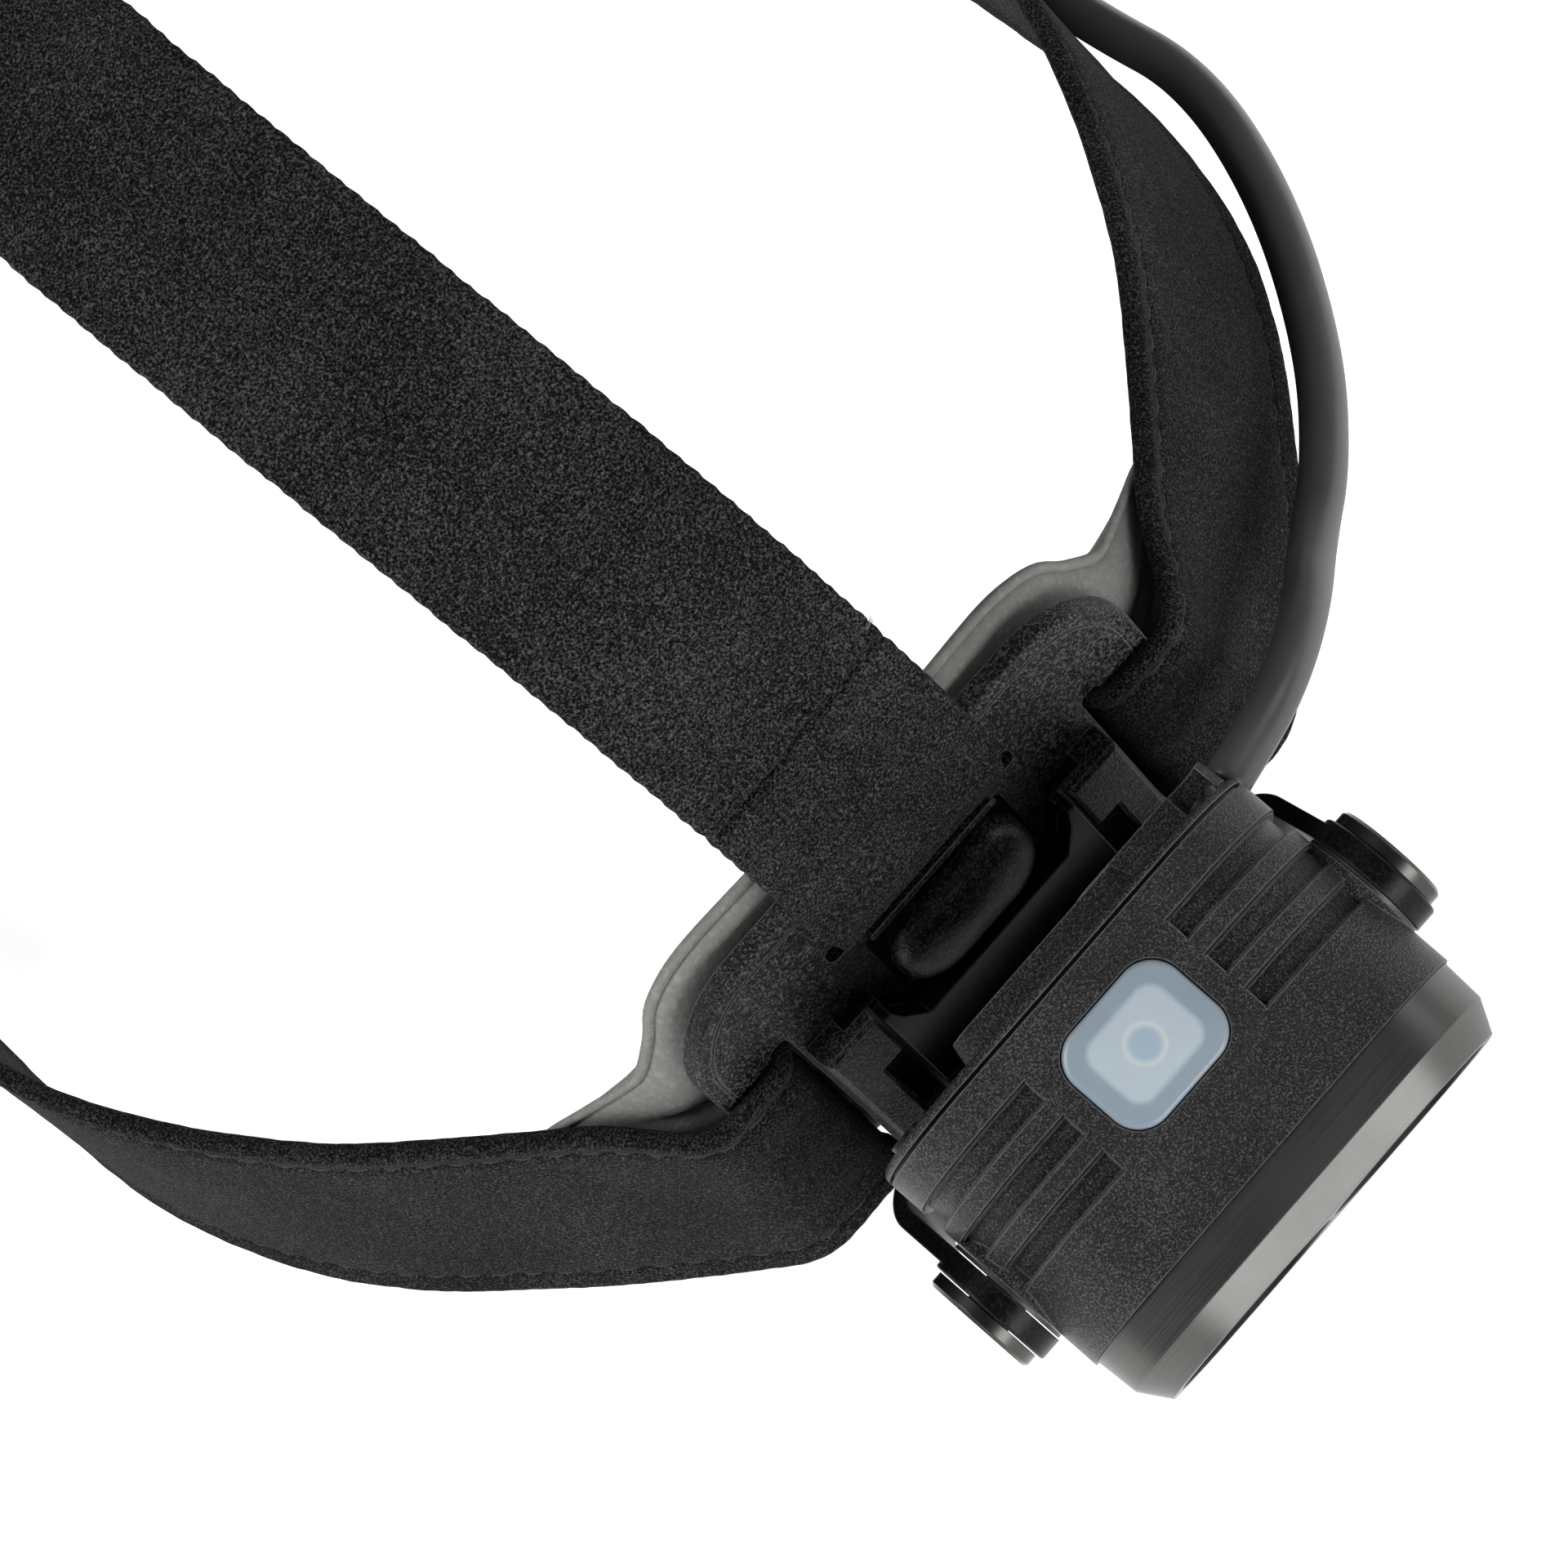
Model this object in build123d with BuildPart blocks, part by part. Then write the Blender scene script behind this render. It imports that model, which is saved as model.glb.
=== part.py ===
from build123d import *
import os
from math import cos, pi, radians, sin

os.makedirs("parts", exist_ok=True)

# ---------------------------------------------------------------------------
# Headlamp, worn on a head. Millimetres. +Z is up, the lamp looks along -Y and
# +X is the wearer's left. The origin is the middle of the head band's loop.
# ---------------------------------------------------------------------------

GAP = 0.3                   # air between soft pieces and their neighbours
FIT = 0.1                   # air round a piece that is guided or seated

# head band
PLATE_FACE = 97.0           # outer face of the front and rear plates, from the middle
PLATE_T = 2.4
PLATE_HALF = 30.5           # half width of the plates
PLATE_TOP = 29.0
PLATE_BOTTOM = -19.0
STRAP_T = 1.6
SIDE_STRAP_W = 30.0
TOP_STRAP_W = 25.0
SIDE_SLOT_X = 22.6          # middle of the slots that take the side straps
TOP_SLOT_Z = 19.0           # middle of the slot that takes the top strap
SLOT_W = 2.5

# lamp, in its own frame: x sideways, y towards its top, z towards its front
TILT = 26.0                 # the nose rests this far below level
PIVOT = Vector(0, -PLATE_FACE - 30.0, 4.0)
BODY_W = 50.4
BODY_H = 28.0
BODY_R = 12.0
BODY_REAR = -14.6
BODY_FRONT = 10.75
WALL = 2.0
WEB_REAR = 2.2
WEB_FRONT = 4.4
COVER_REAR = -16.0
BEZEL_EDGE = 15.3           # where the bezel's chamfer starts
BEZEL_FRONT = 18.4
OPTIC_X = 10.9              # each light's centre
OPTIC_R = 10.6
POST = (21.0, 7.9)          # screw posts, one in each corner
BUTTON_Z = -4.7
BUTTON_W = 14.5
BUTTON_L = 11.9

NOSE = Vector(0, -cos(radians(TILT)), -sin(radians(TILT)))
CROWN = Vector(0, -sin(radians(TILT)), cos(radians(TILT)))
lamp = Plane(origin=PIVOT, x_dir=(1, 0, 0), z_dir=NOSE)
lid = Plane(origin=PIVOT, x_dir=(1, 0, 0), z_dir=CROWN)      # its y points to the lamp's rear
forward = Axis(PIVOT, NOSE)
upward = Axis(PIVOT, CROWN)
POSTS = [(x, y) for x in (-POST[0], POST[0]) for y in (-POST[1], POST[1])]


def side_plane(x):
    """A plane across the pivot axis, at x, with its normal along +X."""
    return Plane(origin=(x, PIVOT.Y, PIVOT.Z), x_dir=(0, 1, 0), z_dir=(1, 0, 0))


# --- lamp body: a grooved shell with a web that carries the LEDs -------------
GROOVE_W = 2.4
GROOVE_DEPTH = 0.9
GROOVE_EDGE = 0.22          # chamfer along the grooves
GROOVES = [-9.5, -4.7, 0.15]
GROOVE_END = 10.0           # the grooves stop this far from the middle
LAND_R = 6.9                # flat round land at each pivot, where the grooves stop

# cable outlet at the rear of the lamp
CABLE_D = 4.8
OUTLET_Y = -2.0
OUTLET_Z = -16.3
OUTLET_X = 24.0
OUTLET_WAY = Vector(0.94, 0.278, -0.199)                   # sideways, a little back and down
cable_start = lamp.from_local_coords(Vector(OUTLET_X, OUTLET_Y, OUTLET_Z))
outlet = Plane(origin=cable_start, x_dir=(0, 0.582, 0.813), z_dir=OUTLET_WAY)

with BuildPart() as lamp_body:
    with BuildSketch(lamp.offset(BODY_REAR)):
        RectangleRounded(BODY_W, BODY_H, BODY_R)
    extrude(amount=BODY_FRONT - BODY_REAR)
    for start, end in ((BODY_REAR, WEB_REAR), (WEB_FRONT, BODY_FRONT)):
        with BuildSketch(lamp.offset(start)):
            RectangleRounded(BODY_W - 2 * WALL, BODY_H - 2 * WALL, BODY_R - WALL)
        extrude(amount=end - start, mode=Mode.SUBTRACT)
    with BuildSketch(lamp.offset(BODY_REAR)):
        with Locations(POSTS):
            Circle(2.2)
    extrude(amount=BODY_FRONT - BODY_REAR)
    for z in GROOVES:
        with BuildSketch(lamp.offset(z - GROOVE_W / 2)):
            RectangleRounded(BODY_W + 2, BODY_H + 2, BODY_R + 1)
            RectangleRounded(BODY_W - 2 * GROOVE_DEPTH, BODY_H - 2 * GROOVE_DEPTH,
                             BODY_R - GROOVE_DEPTH, mode=Mode.SUBTRACT)
            Rectangle(2 * GROOVE_END, BODY_H + 4, mode=Mode.SUBTRACT)
        extrude(amount=GROOVE_W, mode=Mode.SUBTRACT)
        for end, way in ((z - GROOVE_W / 2, -1), (z + GROOVE_W / 2, 1)):   # broken edges
            with BuildSketch(lamp.offset(end)):
                RectangleRounded(BODY_W + 2, BODY_H + 2, BODY_R + 1)
                RectangleRounded(BODY_W - 2 * GROOVE_EDGE, BODY_H - 2 * GROOVE_EDGE, BODY_R - GROOVE_EDGE,
                                 mode=Mode.SUBTRACT)
                Rectangle(2 * GROOVE_END, BODY_H + 4, mode=Mode.SUBTRACT)
            extrude(amount=way * GROOVE_EDGE, taper=-45, mode=Mode.SUBTRACT)
    for side in (-1, 1):                                   # flat lands, then threaded bosses, for the pivots
        with BuildSketch(side_plane(side * (BODY_W / 2 - WALL))):
            Circle(LAND_R)
        extrude(amount=side * WALL)
        with BuildSketch(side_plane(side * (BODY_W / 2 - WALL - 0.5))):
            Circle(4.3)
        extrude(amount=-side * 3.5)
        with BuildSketch(side_plane(side * (BODY_W / 2 + 1))):
            Circle(2.03)
        extrude(amount=-side * 8, mode=Mode.SUBTRACT)
    with BuildSketch(lid.offset(BODY_H / 2 - WALL - 1)):   # opening for the power button
        with Locations((0, -BUTTON_Z)):
            RectangleRounded(BUTTON_W + 2 * FIT, BUTTON_L + 2 * FIT, 3.6)
    extrude(amount=WALL + 3, mode=Mode.SUBTRACT)
    with BuildSketch(lamp.offset(BODY_REAR - 1)):          # screw holes, right through
        with Locations(POSTS):
            Circle(1.05)
    extrude(amount=BODY_FRONT - BODY_REAR + 2, mode=Mode.SUBTRACT)
    with BuildSketch(lamp.offset(WEB_REAR - 1)):           # wires to the LED board
        Circle(2)
    extrude(amount=4, mode=Mode.SUBTRACT)
    with BuildSketch(outlet.offset(-4)):                   # notch where the cable leaves
        Circle(CABLE_D / 2 + GAP)
    extrude(amount=12, mode=Mode.SUBTRACT)
lamp_body.part.label = "lamp_body"
export_step(lamp_body.part, "parts/lamp_body.step")

# --- rear cover: flange, seating rim, raised hump and cable outlet -----------
HUMP_REAR = -18.7
HUMP_HALF = 12.3

with BuildPart() as rear_cover:
    with BuildSketch(lamp.offset(COVER_REAR)):
        RectangleRounded(BODY_W, BODY_H, BODY_R)
    extrude(amount=BODY_REAR - 0.4 - COVER_REAR)
    fillet(rear_cover.faces().sort_by(forward).first.edges(), 0.9)
    with BuildSketch(lamp.offset(COVER_REAR)):             # hump
        RectangleRounded(2 * HUMP_HALF, 18, 3)
    extrude(amount=HUMP_REAR - COVER_REAR, taper=14)
    with BuildSketch(lamp.offset(COVER_REAR)):             # cable outlet block
        with Locations((OUTLET_X / 2 + 3, -1)):
            RectangleRounded(OUTLET_X - 6, 18, 2)
    extrude(amount=HUMP_REAR - 0.2 - COVER_REAR, taper=4)
    with BuildSketch(lamp.offset(BODY_REAR - 0.4)):        # rim inside the body
        RectangleRounded(BODY_W - 2 * WALL - 2 * FIT, BODY_H - 2 * WALL - 2 * FIT, BODY_R - WALL - FIT)
        offset(amount=-1.4, mode=Mode.SUBTRACT)
        with Locations(POSTS):
            Circle(2.4, mode=Mode.SUBTRACT)
    extrude(amount=2.4)
    with BuildSketch(lamp.offset(COVER_REAR - 4)):         # countersunk screw holes
        with Locations(POSTS):
            Circle(1.05)
    extrude(amount=6, mode=Mode.SUBTRACT)
    with BuildSketch(lamp.offset(COVER_REAR - 4)):
        with Locations(POSTS):
            Circle(1.95)
    extrude(amount=4.7, mode=Mode.SUBTRACT)
    with BuildSketch(outlet.offset(-9)):                   # bore for the cable gland
        Circle(CABLE_D / 2 - 0.2)
    extrude(amount=20, mode=Mode.SUBTRACT)
    with BuildSketch(outlet.offset(-0.2)):
        Circle(CABLE_D / 2 + GAP)
    extrude(amount=8, mode=Mode.SUBTRACT)
rear_cover.part.label = "rear_cover"
export_step(rear_cover.part, "parts/rear_cover.step")

with BuildPart() as rear_cover_gasket:
    with BuildSketch(lamp.offset(BODY_REAR - 0.38)):
        RectangleRounded(BODY_W - 1.4, BODY_H - 1.4, BODY_R - 0.7)
        offset(amount=-1.1, mode=Mode.SUBTRACT)
        with Locations(POSTS):
            Circle(1.3, mode=Mode.SUBTRACT)
    extrude(amount=0.36)
    with BuildSketch(outlet.offset(-6)):
        Circle(CABLE_D / 2 + GAP)
    extrude(amount=12, mode=Mode.SUBTRACT)
rear_cover_gasket.part.label = "rear_cover_gasket"
export_step(rear_cover_gasket.part, "parts/rear_cover_gasket.step")

with BuildPart() as cable_gland:
    with BuildSketch(outlet.offset(-8.9)):
        Circle(CABLE_D / 2 - 0.25)
    extrude(amount=8.9)
cable_gland.part.label = "cable_gland"
export_step(cable_gland.part, "parts/cable_gland.step")

# four long screws clamp the cover and the body to the bezel
with BuildPart() as case_screws:
    with BuildSketch(lamp.offset(COVER_REAR + 0.1)):
        with Locations(POSTS):
            Circle(0.8)
    extrude(amount=13.2 - COVER_REAR)
    with BuildSketch(lamp.offset(COVER_REAR - 0.4)):
        with Locations(POSTS):
            Circle(1.8)
            Rectangle(2.0, 0.5, mode=Mode.SUBTRACT)
            Rectangle(0.5, 2.0, mode=Mode.SUBTRACT)
    extrude(amount=0.6)
    with BuildSketch(lamp.offset(COVER_REAR + 0.2)):
        with Locations(POSTS):
            Circle(1.8)
    extrude(amount=0.45)
case_screws.part.label = "case_screws"
export_step(case_screws.part, "parts/case_screws.step")

# --- front bezel: straight band, chamfer, and one window for the two lights --
BEZEL_W = 49.7
BEZEL_H = 27.3
CHAMFER_IN = 1.85

with BuildPart() as front_bezel:
    with BuildSketch(lamp.offset(BODY_FRONT + 0.02)):
        RectangleRounded(BEZEL_W, BEZEL_H, BODY_R - 0.35)
    extrude(amount=BEZEL_EDGE - BODY_FRONT - 0.02, taper=3)
    with BuildSketch(lamp.offset(BEZEL_EDGE)):
        RectangleRounded(BEZEL_W - 0.5, BEZEL_H - 0.5, BODY_R - 0.6)
    with BuildSketch(lamp.offset(BEZEL_FRONT)):
        RectangleRounded(BEZEL_W - 0.5 - 2 * CHAMFER_IN, BEZEL_H - 0.5 - 2 * CHAMFER_IN,
                         BODY_R - 0.6 - CHAMFER_IN)
    loft()
    with BuildSketch(lamp.offset(BODY_FRONT)):             # pocket for lens and reflectors
        SlotCenterToCenter(2 * OPTIC_X, 2 * OPTIC_R + 1.6)
    extrude(amount=16.2 - BODY_FRONT, mode=Mode.SUBTRACT)
    with BuildSketch(lamp.offset(16)):                     # figure of eight window
        with Locations((-OPTIC_X, 0), (OPTIC_X, 0)):
            Circle(OPTIC_R)
    extrude(amount=4, mode=Mode.SUBTRACT)
    with BuildSketch(lamp.offset(BODY_FRONT - 1)):         # blind screw holes
        with Locations(POSTS):
            Circle(0.85)
    extrude(amount=4, mode=Mode.SUBTRACT)
front_bezel.part.label = "front_bezel"
export_step(front_bezel.part, "parts/front_bezel.step")

with BuildPart() as front_lens:
    with BuildSketch(lamp.offset(14.6)):
        SlotCenterToCenter(2 * OPTIC_X, 2 * OPTIC_R + 1.4)
    extrude(amount=1.55)
front_lens.part.label = "front_lens"
export_step(front_lens.part, "parts/front_lens.step")

with BuildPart() as lens_gasket:
    with BuildSketch(lamp.offset(13.4)):
        SlotCenterToCenter(2 * OPTIC_X, 2 * OPTIC_R + 1.4)
        SlotCenterToCenter(2 * OPTIC_X, 2 * OPTIC_R + 0.2, mode=Mode.SUBTRACT)
    extrude(amount=1.18)
lens_gasket.part.label = "lens_gasket"
export_step(lens_gasket.part, "parts/lens_gasket.step")

# --- lights: board on the web, one LED and one reflector cup on each side ----
BOARD_T = 1.0
CUP_REAR = 6.4
CUP_FRONT = 14.4

with BuildPart() as led_board:
    with BuildSketch(lamp.offset(WEB_FRONT + 0.02)):
        SlotCenterToCenter(23, 18.6)
        Circle(1.6, mode=Mode.SUBTRACT)
    extrude(amount=BOARD_T)
led_board.part.label = "led_board"
export_step(led_board.part, "parts/led_board.step")

for name, x in (("left", OPTIC_X), ("right", -OPTIC_X)):
    with BuildPart() as led:
        with BuildSketch(lamp.offset(WEB_FRONT + 0.04 + BOARD_T)):
            with Locations((x, 0)):
                Rectangle(3.5, 3.5)
        extrude(amount=0.7)
        with BuildSketch(lamp.offset(WEB_FRONT + 0.74 + BOARD_T)):
            with Locations((x, 0)):
                Circle(1.4)
        extrude(amount=0.5, taper=25)
    led.part.label = f"led_{name}"
    export_step(led.part, f"parts/led_{name}.step")

    cup_axis = Plane(origin=lamp.from_local_coords(Vector(x, 0, 0)), x_dir=(1, 0, 0), z_dir=-CROWN)
    with BuildPart() as reflector:
        with BuildSketch(cup_axis):                        # x outwards, y along the light
            with BuildLine():
                Polyline((3.2, CUP_REAR), (4.0, CUP_REAR), (8.6, 10.4), (10.3, CUP_FRONT), (9.6, CUP_FRONT))
                ThreePointArc((9.6, CUP_FRONT), (7.7, 10.6), (3.2, CUP_REAR))
            make_face()
        revolve(axis=Axis(cup_axis.origin, cup_axis.y_dir))
    reflector.part.label = f"reflector_{name}"
    export_step(reflector.part, f"parts/reflector_{name}.step")

# --- electronics behind the web, and the power button ------------------------
BUTTON_TRAVEL = 0.6
SWITCH_TOP = 9.8
button_spot = (0, -BUTTON_Z)

with BuildPart() as driver_board:
    with BuildSketch(lid.offset(6.4)):
        with Locations((0, 5.4)):
            Rectangle(29, 13.6)
    extrude(amount=1)
    with BuildSketch(lid.offset(4.4)):                     # components on the lower side
        with Locations((-9, 7), (8, 3)):
            Rectangle(5, 4)
        with Locations((0, 8)):
            Circle(2.2)
    extrude(amount=2)
driver_board.part.label = "driver_board"
export_step(driver_board.part, "parts/driver_board.step")

with BuildPart() as tact_switch:
    with BuildSketch(lid.offset(7.42)):
        with Locations(button_spot):
            Rectangle(4.5, 4.5)
    extrude(amount=1.8)
    with BuildSketch(lid.offset(9.22)):
        with Locations(button_spot):
            Circle(0.9)
    extrude(amount=SWITCH_TOP - 9.22)
tact_switch.part.label = "tact_switch"
export_step(tact_switch.part, "parts/tact_switch.step")

with BuildPart() as power_button:
    with BuildSketch(lid.offset(11.85)):
        with Locations(button_spot):
            RectangleRounded(BUTTON_W, BUTTON_L, 3.5)
    extrude(amount=BODY_H / 2 + 0.75 - 11.85)
    fillet(power_button.faces().sort_by(upward).last.edges(), 0.7)
    with BuildSketch(lid.offset(BODY_H / 2 + 0.65)):       # shallow panel in the cap
        with Locations(button_spot):
            RectangleRounded(BUTTON_W - 4.6, BUTTON_L - 4.0, 2)
            Circle(2, mode=Mode.SUBTRACT)
    extrude(amount=1, mode=Mode.SUBTRACT)
    with BuildSketch(lid.offset(11.05)):                   # flange that holds it in
        with Locations(button_spot):
            RectangleRounded(BUTTON_W + 1.2, BUTTON_L + 1.2, 4)
    extrude(amount=0.8)
    with BuildSketch(lid.offset(SWITCH_TOP + BUTTON_TRAVEL + 0.1)):
        with Locations(button_spot):
            Circle(1.5)
    extrude(amount=1)
power_button.part.label = "power_button"
export_step(power_button.part, "parts/power_button.step")

# --- tilting mount: yoke, dished pivot screws and friction washers -----------
ARM_IN = 25.75
ARM_OUT = 27.6
BOSS_OUT = 28.2
BOSS_R = 6.7
BEAM_FRONT = PIVOT.Y + 21.8
BEAM_REAR = BEAM_FRONT + 2.6
BASE_TOP = 4.7
BASE_BOTTOM = -16.0
WING_TOP = 11.0
FLANGE_HALF = 16.8
BASE_HALF = 13.8
RAIL_SLOT = 1.9             # room between the plate's face and its hook lips
WASHER_R = 6.5

with BuildPart() as yoke:
    with BuildSketch(Plane.XY.offset(-20)):                # U seen from above
        with BuildLine():
            FilletPolyline((-ARM_OUT, PIVOT.Y - BOSS_R), (-ARM_OUT, BEAM_REAR), (ARM_OUT, BEAM_REAR),
                           (ARM_OUT, PIVOT.Y - BOSS_R), radius=9.6)
            Line((ARM_OUT, PIVOT.Y - BOSS_R), (ARM_IN, PIVOT.Y - BOSS_R))
            FilletPolyline((ARM_IN, PIVOT.Y - BOSS_R), (ARM_IN, BEAM_FRONT), (-ARM_IN, BEAM_FRONT),
                           (-ARM_IN, PIVOT.Y - BOSS_R), radius=6.4)
            Line((-ARM_IN, PIVOT.Y - BOSS_R), (-ARM_OUT, PIVOT.Y - BOSS_R))
        make_face()
    extrude(amount=40)
    with BuildSketch(Plane.YZ.offset(-ARM_OUT - 1)):       # side view, from pivot down to beam
        with Locations((PIVOT.Y, PIVOT.Z)):
            Circle(BOSS_R)
        with Locations(((BEAM_FRONT + BEAM_REAR) / 2, (BASE_BOTTOM - 6) / 2)):
            Rectangle(BEAM_REAR - BEAM_FRONT + 0.2, -6 - BASE_BOTTOM)
        make_hull()
    extrude(amount=2 * ARM_OUT + 2, mode=Mode.INTERSECT)
    for side in (-1, 1):                                   # round bosses
        with BuildSketch(side_plane(side * ARM_IN)):
            Circle(BOSS_R)
        extrude(amount=side * (BOSS_OUT - ARM_IN))
    fillet(yoke.edges().filter_by(GeomType.CIRCLE).group_by(Axis.X)[0], 0.3)
    fillet(yoke.edges().filter_by(GeomType.CIRCLE).group_by(Axis.X)[-1], 0.3)
    with BuildSketch(Plane.XZ.offset(-BEAM_REAR + 0.5)):   # stem from the beam to the base
        with Locations((0, (BASE_BOTTOM - 6) / 2)):
            Rectangle(2 * BASE_HALF, -6 - BASE_BOTTOM)
    extrude(amount=-3)
    with BuildSketch(Plane.XZ.offset(PLATE_FACE + 0.15)):  # flange that slides behind the hooks
        with BuildLine():
            Polyline((-FLANGE_HALF, BASE_BOTTOM), (FLANGE_HALF, BASE_BOTTOM), (FLANGE_HALF, WING_TOP),
                     (12.7, WING_TOP), (12.7, WING_TOP - 2.2), (10.1, BASE_TOP), (-10.1, BASE_TOP),
                     (-12.7, WING_TOP - 2.2), (-12.7, WING_TOP), (-FLANGE_HALF, WING_TOP), close=True)
        make_face()
    extrude(amount=RAIL_SLOT - 0.3)
    with BuildSketch(Plane.XZ.offset(PLATE_FACE + 0.15)):  # thick middle of the base
        with BuildLine():
            Polyline((-BASE_HALF, BASE_BOTTOM), (BASE_HALF, BASE_BOTTOM), (BASE_HALF, WING_TOP - 1),
                     (12.9, WING_TOP - 1), (12.2, WING_TOP - 3.2), (10.1, BASE_TOP), (-10.1, BASE_TOP),
                     (-12.2, WING_TOP - 3.2), (-12.9, WING_TOP - 1), (-BASE_HALF, WING_TOP - 1), close=True)
        make_face()
    extrude(amount=3.6)
    with BuildSketch(side_plane(-40)):                     # bores for the pivot screws
        Circle(2.55)
    extrude(amount=80, mode=Mode.SUBTRACT)
yoke.part.label = "yoke"
export_step(yoke.part, "parts/yoke.step")

for name, side in (("left", 1), ("right", -1)):
    with BuildPart() as pivot_screw:
        with BuildSketch(side_plane(side * (BOSS_OUT + 0.1))):
            Circle(6.0)
        extrude(amount=side * 1.5)
        rim = pivot_screw.edges().filter_by(GeomType.CIRCLE).sort_by(Axis.X)
        chamfer(rim.last if side > 0 else rim.first, 0.35)
        with BuildSketch(side_plane(side * (BOSS_OUT + 1.25))):    # dish in the head
            Circle(4.7)
        extrude(amount=side * 1, taper=-20, mode=Mode.SUBTRACT)
        with BuildSketch(side_plane(side * (BOSS_OUT + 0.1))):
            Circle(2.48)
        extrude(amount=-side * (BOSS_OUT + 0.1 - BODY_W / 2 - 0.05))
        with BuildSketch(side_plane(side * (BODY_W / 2 + 0.05))):
            Circle(2.0)
        extrude(amount=-side * 5.5)
    pivot_screw.part.label = f"pivot_screw_{name}"
    export_step(pivot_screw.part, f"parts/pivot_screw_{name}.step")

    with BuildPart() as friction_washer:
        with BuildSketch(side_plane(side * (BODY_W / 2 + 0.04))):
            Circle(WASHER_R)
            Circle(2.6, mode=Mode.SUBTRACT)
        extrude(amount=side * 0.4)
    friction_washer.part.label = f"friction_washer_{name}"
    export_step(friction_washer.part, f"parts/friction_washer_{name}.step")

# --- front plate: rounded ears, strap slots, tongue window and hook rails -----
TONGUE_HALF = 9.2
TONGUE_TOP = 15.6
TONGUE_BOTTOM = 5.5
RAIL_IN = 14.3
RAIL_WALL = 17.1
RAIL_OUT = 20.9
RAIL_TOP = 11.4
RAIL_BOTTOM = -15.0
LIP_T = 1.7
HOOK_L = 7.8                # height of each hook lip
SLOT_END = 15.7             # side strap slots reach this far up and down
RIM_IN = 1.5                # the line runs this far inside the plate's edge
RIM_W = 0.35
RIM_DEPTH = 0.25
LIP_L = 17.8
LIP_W = 0.8
LIP_OUT = 1.1

front = Plane.XZ.offset(PLATE_FACE)                        # normal points away from the head
rear = Plane(origin=(0, PLATE_FACE, 0), x_dir=(-1, 0, 0), z_dir=(0, 1, 0))
plate_middle = (PLATE_TOP + PLATE_BOTTOM) / 2


with BuildPart() as front_plate:
    with BuildSketch(front):
        with Locations((0, plate_middle)):
            RectangleRounded(2 * PLATE_HALF, PLATE_TOP - PLATE_BOTTOM, 11)
    extrude(amount=-PLATE_T)
    fillet(front_plate.faces().sort_by(Axis.Y).first.edges(), 0.7)
    with BuildSketch(front.offset(-PLATE_T - 1)):          # strap slots
        with Locations((SIDE_SLOT_X, 0), (-SIDE_SLOT_X, 0)):
            RectangleRounded(SLOT_W, 2 * SLOT_END, 0.9)
        with Locations((0, TOP_SLOT_Z)):
            RectangleRounded(TOP_STRAP_W + 1.4, SLOT_W, 0.9)
    extrude(amount=PLATE_T + 2, mode=Mode.SUBTRACT)
    with BuildSketch(front.offset(-RIM_DEPTH)):            # fine line inside the plate's edge
        with Locations((0, plate_middle)):
            RectangleRounded(2 * (PLATE_HALF - RIM_IN), PLATE_TOP - PLATE_BOTTOM - 2 * RIM_IN, 11 - RIM_IN)
            offset(amount=-RIM_W, mode=Mode.SUBTRACT)
    extrude(amount=1, mode=Mode.SUBTRACT)
    with BuildSketch(front.offset(-0.1)):                  # lip under the top strap's slot
        with Locations((0, TOP_SLOT_Z - SLOT_W / 2 - LIP_W / 2 - 0.05)):
            SlotOverall(LIP_L, LIP_W)
    extrude(amount=LIP_OUT + 0.1)
    with BuildSketch(front.offset(-PLATE_T - 1)):          # window for the release tongue
        with Locations((0, (TONGUE_TOP + TONGUE_BOTTOM) / 2 + 0.1)):
            RectangleRounded(2 * TONGUE_HALF + 1, TONGUE_TOP - TONGUE_BOTTOM + 1.2, 0.9)
    extrude(amount=PLATE_T + 2, mode=Mode.SUBTRACT)
    for side in (-1, 1):
        with BuildSketch(front):                           # rail wall
            with Locations((side * (RAIL_WALL + RAIL_OUT) / 2, (RAIL_TOP + RAIL_BOTTOM) / 2)):
                Rectangle(RAIL_OUT - RAIL_WALL, RAIL_TOP - RAIL_BOTTOM)
        extrude(amount=RAIL_SLOT + LIP_T)
        with BuildSketch(front.offset(RAIL_SLOT)):         # two hook lips
            for z in (RAIL_TOP - HOOK_L / 2, RAIL_BOTTOM + HOOK_L / 2):
                with Locations((side * (RAIL_IN + RAIL_WALL) / 2, z)):
                    Rectangle(RAIL_WALL - RAIL_IN, HOOK_L)
        extrude(amount=LIP_T)
    rails = front_plate.faces().filter_by(Plane.XZ).sort_by(Axis.Y).group_by(Axis.Y)[0]
    chamfer(rails.edges(), 0.45)
front_plate.part.label = "front_plate"
export_step(front_plate.part, "parts/front_plate.step")

# --- release tongue: a domed tab that catches the top edge of the yoke's base --

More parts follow.
